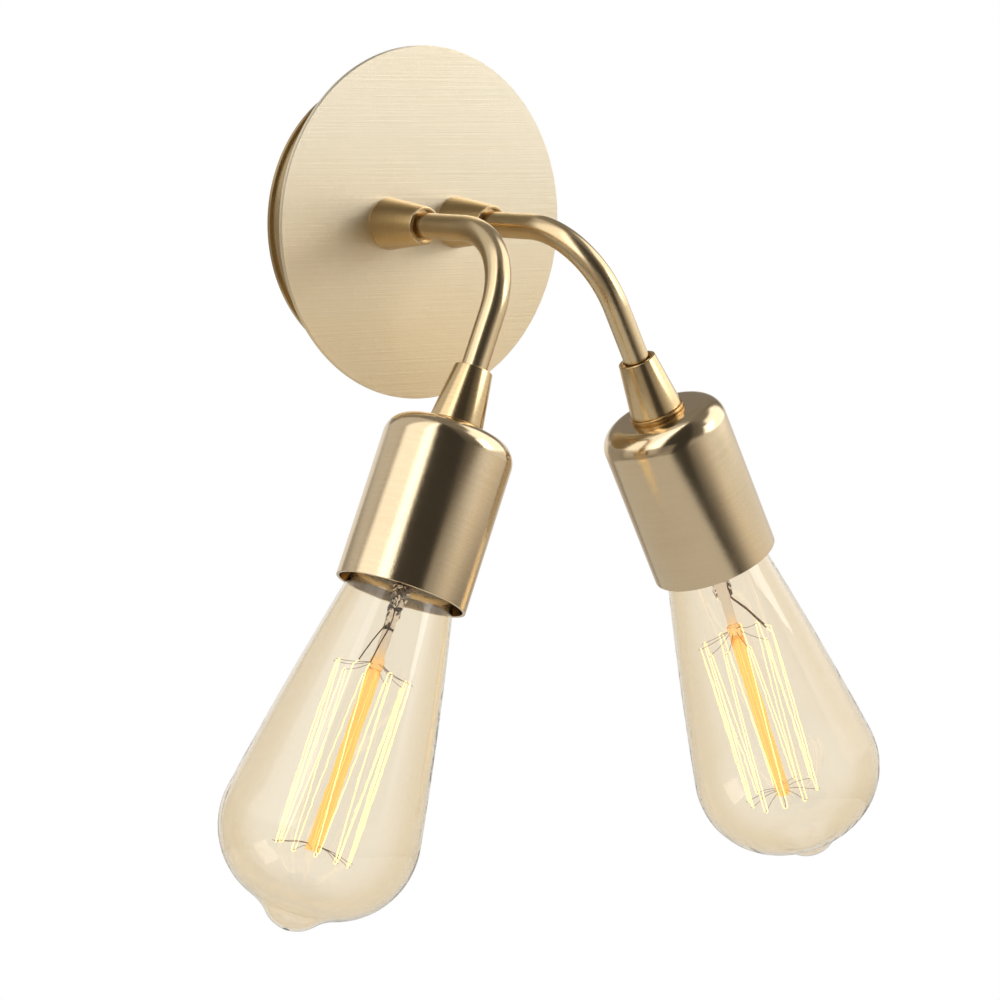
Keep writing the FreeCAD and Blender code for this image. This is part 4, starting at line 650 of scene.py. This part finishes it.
def stem_rings():
    """Cross-sections of the mount from foot to tip: height, half width, half depth, ripple."""
    edge = STEM_FOOT_RADIUS - FOOT_EDGE
    rings = [(-STEM_FOOT, edge, edge, 0.0),
             (-STEM_FOOT + FOOT_LIP, STEM_FOOT_RADIUS, STEM_FOOT_RADIUS, 0.0)]
    for step in range(1, FLARE_STEPS + 1):
        share = step / FLARE_STEPS
        radius = STEM_FOOT_RADIUS + (STEM_RADIUS - STEM_FOOT_RADIUS) * share ** FLARE_CURVE
        rings.append((-STEM_FOOT + FLARE_START + (PRESS_START + STEM_FOOT - FLARE_START) * share,
                      radius, radius, 0.0))
    for step in range(1, PRESS_STEPS + 1):
        share = step / PRESS_STEPS
        if share < PRESS_WIDEST:
            swell = math.sin(math.pi * (share * PRESS_SWELL)) ** 0.5
            width = STEM_RADIUS + (PRESS_WIDTH / 2 - STEM_RADIUS) * swell
        else:
            narrowing = min(1.0, (share - PRESS_WIDEST) / PRESS_WIDEST)
            width = PRESS_WIDTH / 2 + (PRESS_TIP_WIDTH / 2 - PRESS_WIDTH / 2) * narrowing
        flattening = min(1.0, share * PRESS_FLATTENING)
        depth = STEM_RADIUS + (PRESS_THICKNESS / 2 - STEM_RADIUS) * flattening
        rings.append((PRESS_START + (PRESS_END - PRESS_START) * share, width, depth,
                      PRESS_RIPPLE * math.sin(math.pi * share)))
    rings.append((PRESS_END + ROD_ROOT, ROD_RADIUS * ROOT_WIDTH, ROD_RADIUS * ROOT_DEPTH, 0.0))
    for middle, rod in ((TOP_HUB, ROD_RADIUS), (BOTTOM_HUB, LIT_ROD_RADIUS)):
        start = rings[-1][0] + ROD_GAP
        for step in range(ROD_STEPS + 1):
            height = start + (middle - HUB_HALF - HUB_GAP - start) * step / ROD_STEPS
            wobble = rod * (1 + ROD_WOBBLE * math.sin(height * ROD_WAVE))
            rings.append((height, wobble, wobble, 0.0))
        for step in range(HUB_STEPS + 1):
            angle = math.pi * step / HUB_STEPS
            bulge = rod + (HUB_RADIUS - rod) * max(0.0, math.sin(angle)) ** HUB_CURVE
            rings.append((middle - HUB_HALF * math.cos(angle), bulge, bulge, 0.0))
    return rings


def stem_mesh(name, place):
    """The mount's glass as one closed mesh; a broad and a fine ripple crinkle its press."""
    rings = stem_rings()
    vertices, faces = [(0, 0, rings[0][0])], []
    for number, (height, width, depth, ripple) in enumerate(rings):
        for step in range(STEM_SEGMENTS):
            angle = 2 * math.pi * step / STEM_SEGMENTS
            broad = math.sin(2 * angle + height * 0.9)
            fine = math.sin(5 * angle - height * 1.3)
            fold = ripple * (broad + fine)
            vertices.append(((width + fold) * math.cos(angle), (depth + fold) * math.sin(angle),
                             height + ripple * math.sin(5 * angle)))
        if number:
            low, high = 1 + (number - 1) * STEM_SEGMENTS, 1 + number * STEM_SEGMENTS
            for step in range(STEM_SEGMENTS):
                following = (step + 1) % STEM_SEGMENTS
                faces.append((low + step, low + following, high + following, high + step))
    vertices.append((0, 0, rings[-1][0]))
    top = len(vertices) - 1
    for step in range(STEM_SEGMENTS):
        following = (step + 1) % STEM_SEGMENTS
        faces.append((0, 1 + following, 1 + step))
        faces.append((top, top - STEM_SEGMENTS + step, top - STEM_SEGMENTS + following))
    return place_mesh(name, vertices, faces, place, sharp=60)


stem_glass, tree = new_finish("stem_glass")
# Painted glow: where the filament lights the rod, it gets an amber colour and a streaked amber
# emission.
glow_streaks = grain(tree, (700.0, 700.0, 30.0), 3.0, 0.6)
height = Signal.node(tree, "TexCoord", outlet="Object").parts()[2]
lit = height.rise(0.022, 0.036)
close_finish(
    tree,
    Base_Color=lit.blend((0.84, 0.76, 0.68, 1.0), (0.95, 0.68, 0.26, 1.0)),
    Roughness=0.10,
    IOR=1.5,
    Transmission_Weight=1.0,
    Emission_Color=(lit * (0.25 + glow_streaks * 0.9)).blend((0.0, 0.0, 0.0, 1.0),
                                                       (1.0, 0.43, 0.05, 1.0)),
    Emission_Strength=0.26,
)
for side in SIDES:
    stem = stem_mesh(side + "_bulb_mount_glass", mount_frame(side))
    paint(stem_glass, fit(stem, side + "_bulb_stem", side + "_bulb"))

# The filament is one long fine coil of tungsten, so from outside it looks like a soft glowing
# wire. It zigzags over thin support wires from the two buttons, and hangs at its ends from
# two thicker lead wires, which are kinked where they leave the press.
CAGE_RADIUS, CAGE_TOP, CAGE_BOTTOM, CAGE_OPENING, STRANDS = 12.6, 34.5, 93.5, 22.0, 20
FILAMENT_RADIUS, HOOK_RADIUS, SUPPORT_RADIUS, INLEAD_RADIUS = 0.17, 0.7, 0.09, 0.22
INLEAD_ACROSS, INLEAD_ASIDE, INLEAD_END, INLEAD_END_HEIGHT = 2.0, 0.9, 10.6, 32.8
INLEAD_START, INLEAD_IN_PRESS, KINK_RISE, SAG_PLACE = 0.5, 9.0, 1.2, 0.45
LEAD_SAG = Vector((0.2, 0, -0.5))
FIRST_SEED, HOOK_STEPS, BOW_STEPS, END_SLACK = 5, 6, 8, 0.2
ANGLE_STRAY, HEIGHT_STRAY, INWARD_STRAY, OUTWARD_STRAY, BOW_STRAY = 1.6, 0.5, 0.5, 0.3, 0.5
SUPPORT_ROOT, SUPPORT_GAP, TIP_STRAY, TIP_RISE, TIP_OUT = 0.3, 0.15, 3, 0.2, 1.0
LEAST_SAG, MOST_SAG = 0.2, 0.9


def on_cage(angle, height, radius=CAGE_RADIUS):
    """A point at an angle round the bulb's axis, in degrees."""
    turn = math.radians(angle)
    return Vector((radius * math.cos(turn), radius * math.sin(turn), height))


def wires(name, routes, radius, place, sides=10):
    """Round wires along runs of points, as one mesh of closed tubes."""
    vertices, faces = [], []
    for route in routes:
        route = [Vector(point) for point in route]
        normal = None
        first = len(vertices)
        for index, point in enumerate(route):
            ahead = route[min(index + 1, len(route) - 1)] - route[max(index - 1, 0)]
            ahead.normalize()
            if normal is None:
                normal = ahead.orthogonal().normalized()
            normal = (normal - ahead * normal.dot(ahead)).normalized()
            aside = ahead.cross(normal)
            for step in range(sides):
                angle = 2 * math.pi * step / sides
                vertices.append(point + normal * (radius * math.cos(angle))
                                + aside * (radius * math.sin(angle)))
            if index:
                low = first + (index - 1) * sides
                for step in range(sides):
                    following = (step + 1) % sides
                    faces.append((low + step, low + following,
                                  low + sides + following, low + sides + step))
        last = first + (len(route) - 1) * sides
        faces.append(tuple(range(first + sides - 1, first - 1, -1)))
        faces.append(tuple(range(last, last + sides)))
    return place_mesh(name, vertices, faces, place, sharp=70)


def bowed(start, end, bow):
    """Points from one place to another along a slight bow."""
    return [start.lerp(end, step / BOW_STEPS) + bow * math.sin(math.pi * step / BOW_STEPS)
            for step in range(BOW_STEPS + 1)]


glow, tree = new_finish("filament_glow")
winding = grain(tree, (260.0, 260.0, 260.0), 2.0, 0.5)
close_finish(
    tree,
    Base_Color=winding.blend((0.90, 0.62, 0.24, 1.0), (0.98, 0.80, 0.44, 1.0)),
    Roughness=0.5,
    Emission_Color=winding.blend((1.0, 0.74, 0.30, 1.0), (1.0, 0.86, 0.48, 1.0)),
    Emission_Strength=1.6,
)
dark_wire, tree = new_finish("dark_wire")
scale_marks = grain(tree, (900.0, 900.0, 900.0), 3.0, 0.6)
close_finish(
    tree,
    Base_Color=scale_marks.blend((0.10, 0.055, 0.03, 1.0), (0.34, 0.22, 0.14, 1.0)),
    Metallic=0.8,
    Roughness=0.35 + scale_marks * 0.2,
)
for seed, side in enumerate(SIDES, FIRST_SEED):
    chance = random.Random(seed)
    place = mount_frame(side)
    body = side + "_bulb"
    angles = [CAGE_OPENING / 2 + (360 - CAGE_OPENING) / STRANDS * index
              for index in range(STRANDS + 1)]
    spread = math.degrees(HOOK_RADIUS / CAGE_RADIUS)
    turns, route, supports = [], [], []
    for index, angle in enumerate(angles):
        level = CAGE_BOTTOM if index % 2 else CAGE_TOP
        turns.append((angle + chance.uniform(-ANGLE_STRAY, ANGLE_STRAY),
                      level + chance.uniform(-HEIGHT_STRAY, HEIGHT_STRAY),
                      CAGE_RADIUS + chance.uniform(-INWARD_STRAY, OUTWARD_STRAY),
                      1 if index % 2 else -1))
    lead_ends = [Vector((INLEAD_END, sign * INLEAD_END * math.sin(math.radians(angles[0])),
                         INLEAD_END_HEIGHT)) for sign in (1, -1)]
    route.append(lead_ends[0])
    for index, (angle, level, radius, outward) in enumerate(turns):
        if 0 < index < STRANDS:
            hook = []
            for step in range(HOOK_STEPS + 1):
                bend = math.pi * step / HOOK_STEPS
                hook.append(on_cage(angle - spread * math.cos(bend),
                                    level + outward * HOOK_RADIUS * math.sin(bend), radius))
        else:
            hook = [on_cage(angle, level, radius)]
        bow = Vector((chance.uniform(-BOW_STRAY, BOW_STRAY),
                      chance.uniform(-BOW_STRAY, BOW_STRAY), 0))
        route += bowed(route[-1], hook[0], bow if index else bow * END_SLACK)[1:-1] + hook
    route += bowed(route[-1], lead_ends[1], Vector((0, 0, END_SLACK)))[1:]
    filament = wires(side + "_filament_coil", [route], FILAMENT_RADIUS, place)
    paint(glow, fit(filament, side + "_bulb_filament", body))
    for index, (angle, level, radius, outward) in enumerate(turns[1:-1], 1):
        hub = BOTTOM_HUB if index % 2 else TOP_HUB
        start = on_cage(angle, hub, HUB_RADIUS - SUPPORT_ROOT)
        inside_hook = HOOK_RADIUS - FILAMENT_RADIUS - SUPPORT_GAP
        seat = on_cage(angle, level + outward * inside_hook, radius)
        tip = on_cage(angle + chance.uniform(-TIP_STRAY, TIP_STRAY), level + outward * TIP_RISE,
                      radius + TIP_OUT)
        sag = Vector((0, 0, -outward * chance.uniform(LEAST_SAG, MOST_SAG)))
        supports.append(bowed(start, seat, sag) + [tip])
    holders = wires(side + "_filament_supports", supports, SUPPORT_RADIUS, place, 6)
    paint(dark_wire, fit(holders, side + "_support_wires", body))
    leads = []
    for sign, end in zip((1, -1), lead_ends):
        aside = sign * INLEAD_ASIDE
        straight = [Vector((INLEAD_ACROSS, aside, height))
                    for height in (INLEAD_START, INLEAD_IN_PRESS, PRESS_END)]
        kink = Vector((INLEAD_ACROSS, aside, PRESS_END + KINK_RISE))
        middle = kink.lerp(end, SAG_PLACE) + LEAD_SAG
        leads.append(straight + [kink, kink + (middle - kink).normalized(), middle, end])
    inleads = wires(side + "_kinked_lead_wires", leads, INLEAD_RADIUS, place, 12)
    paint(dark_wire, fit(inleads, side + "_bulb_lead_wires", body))
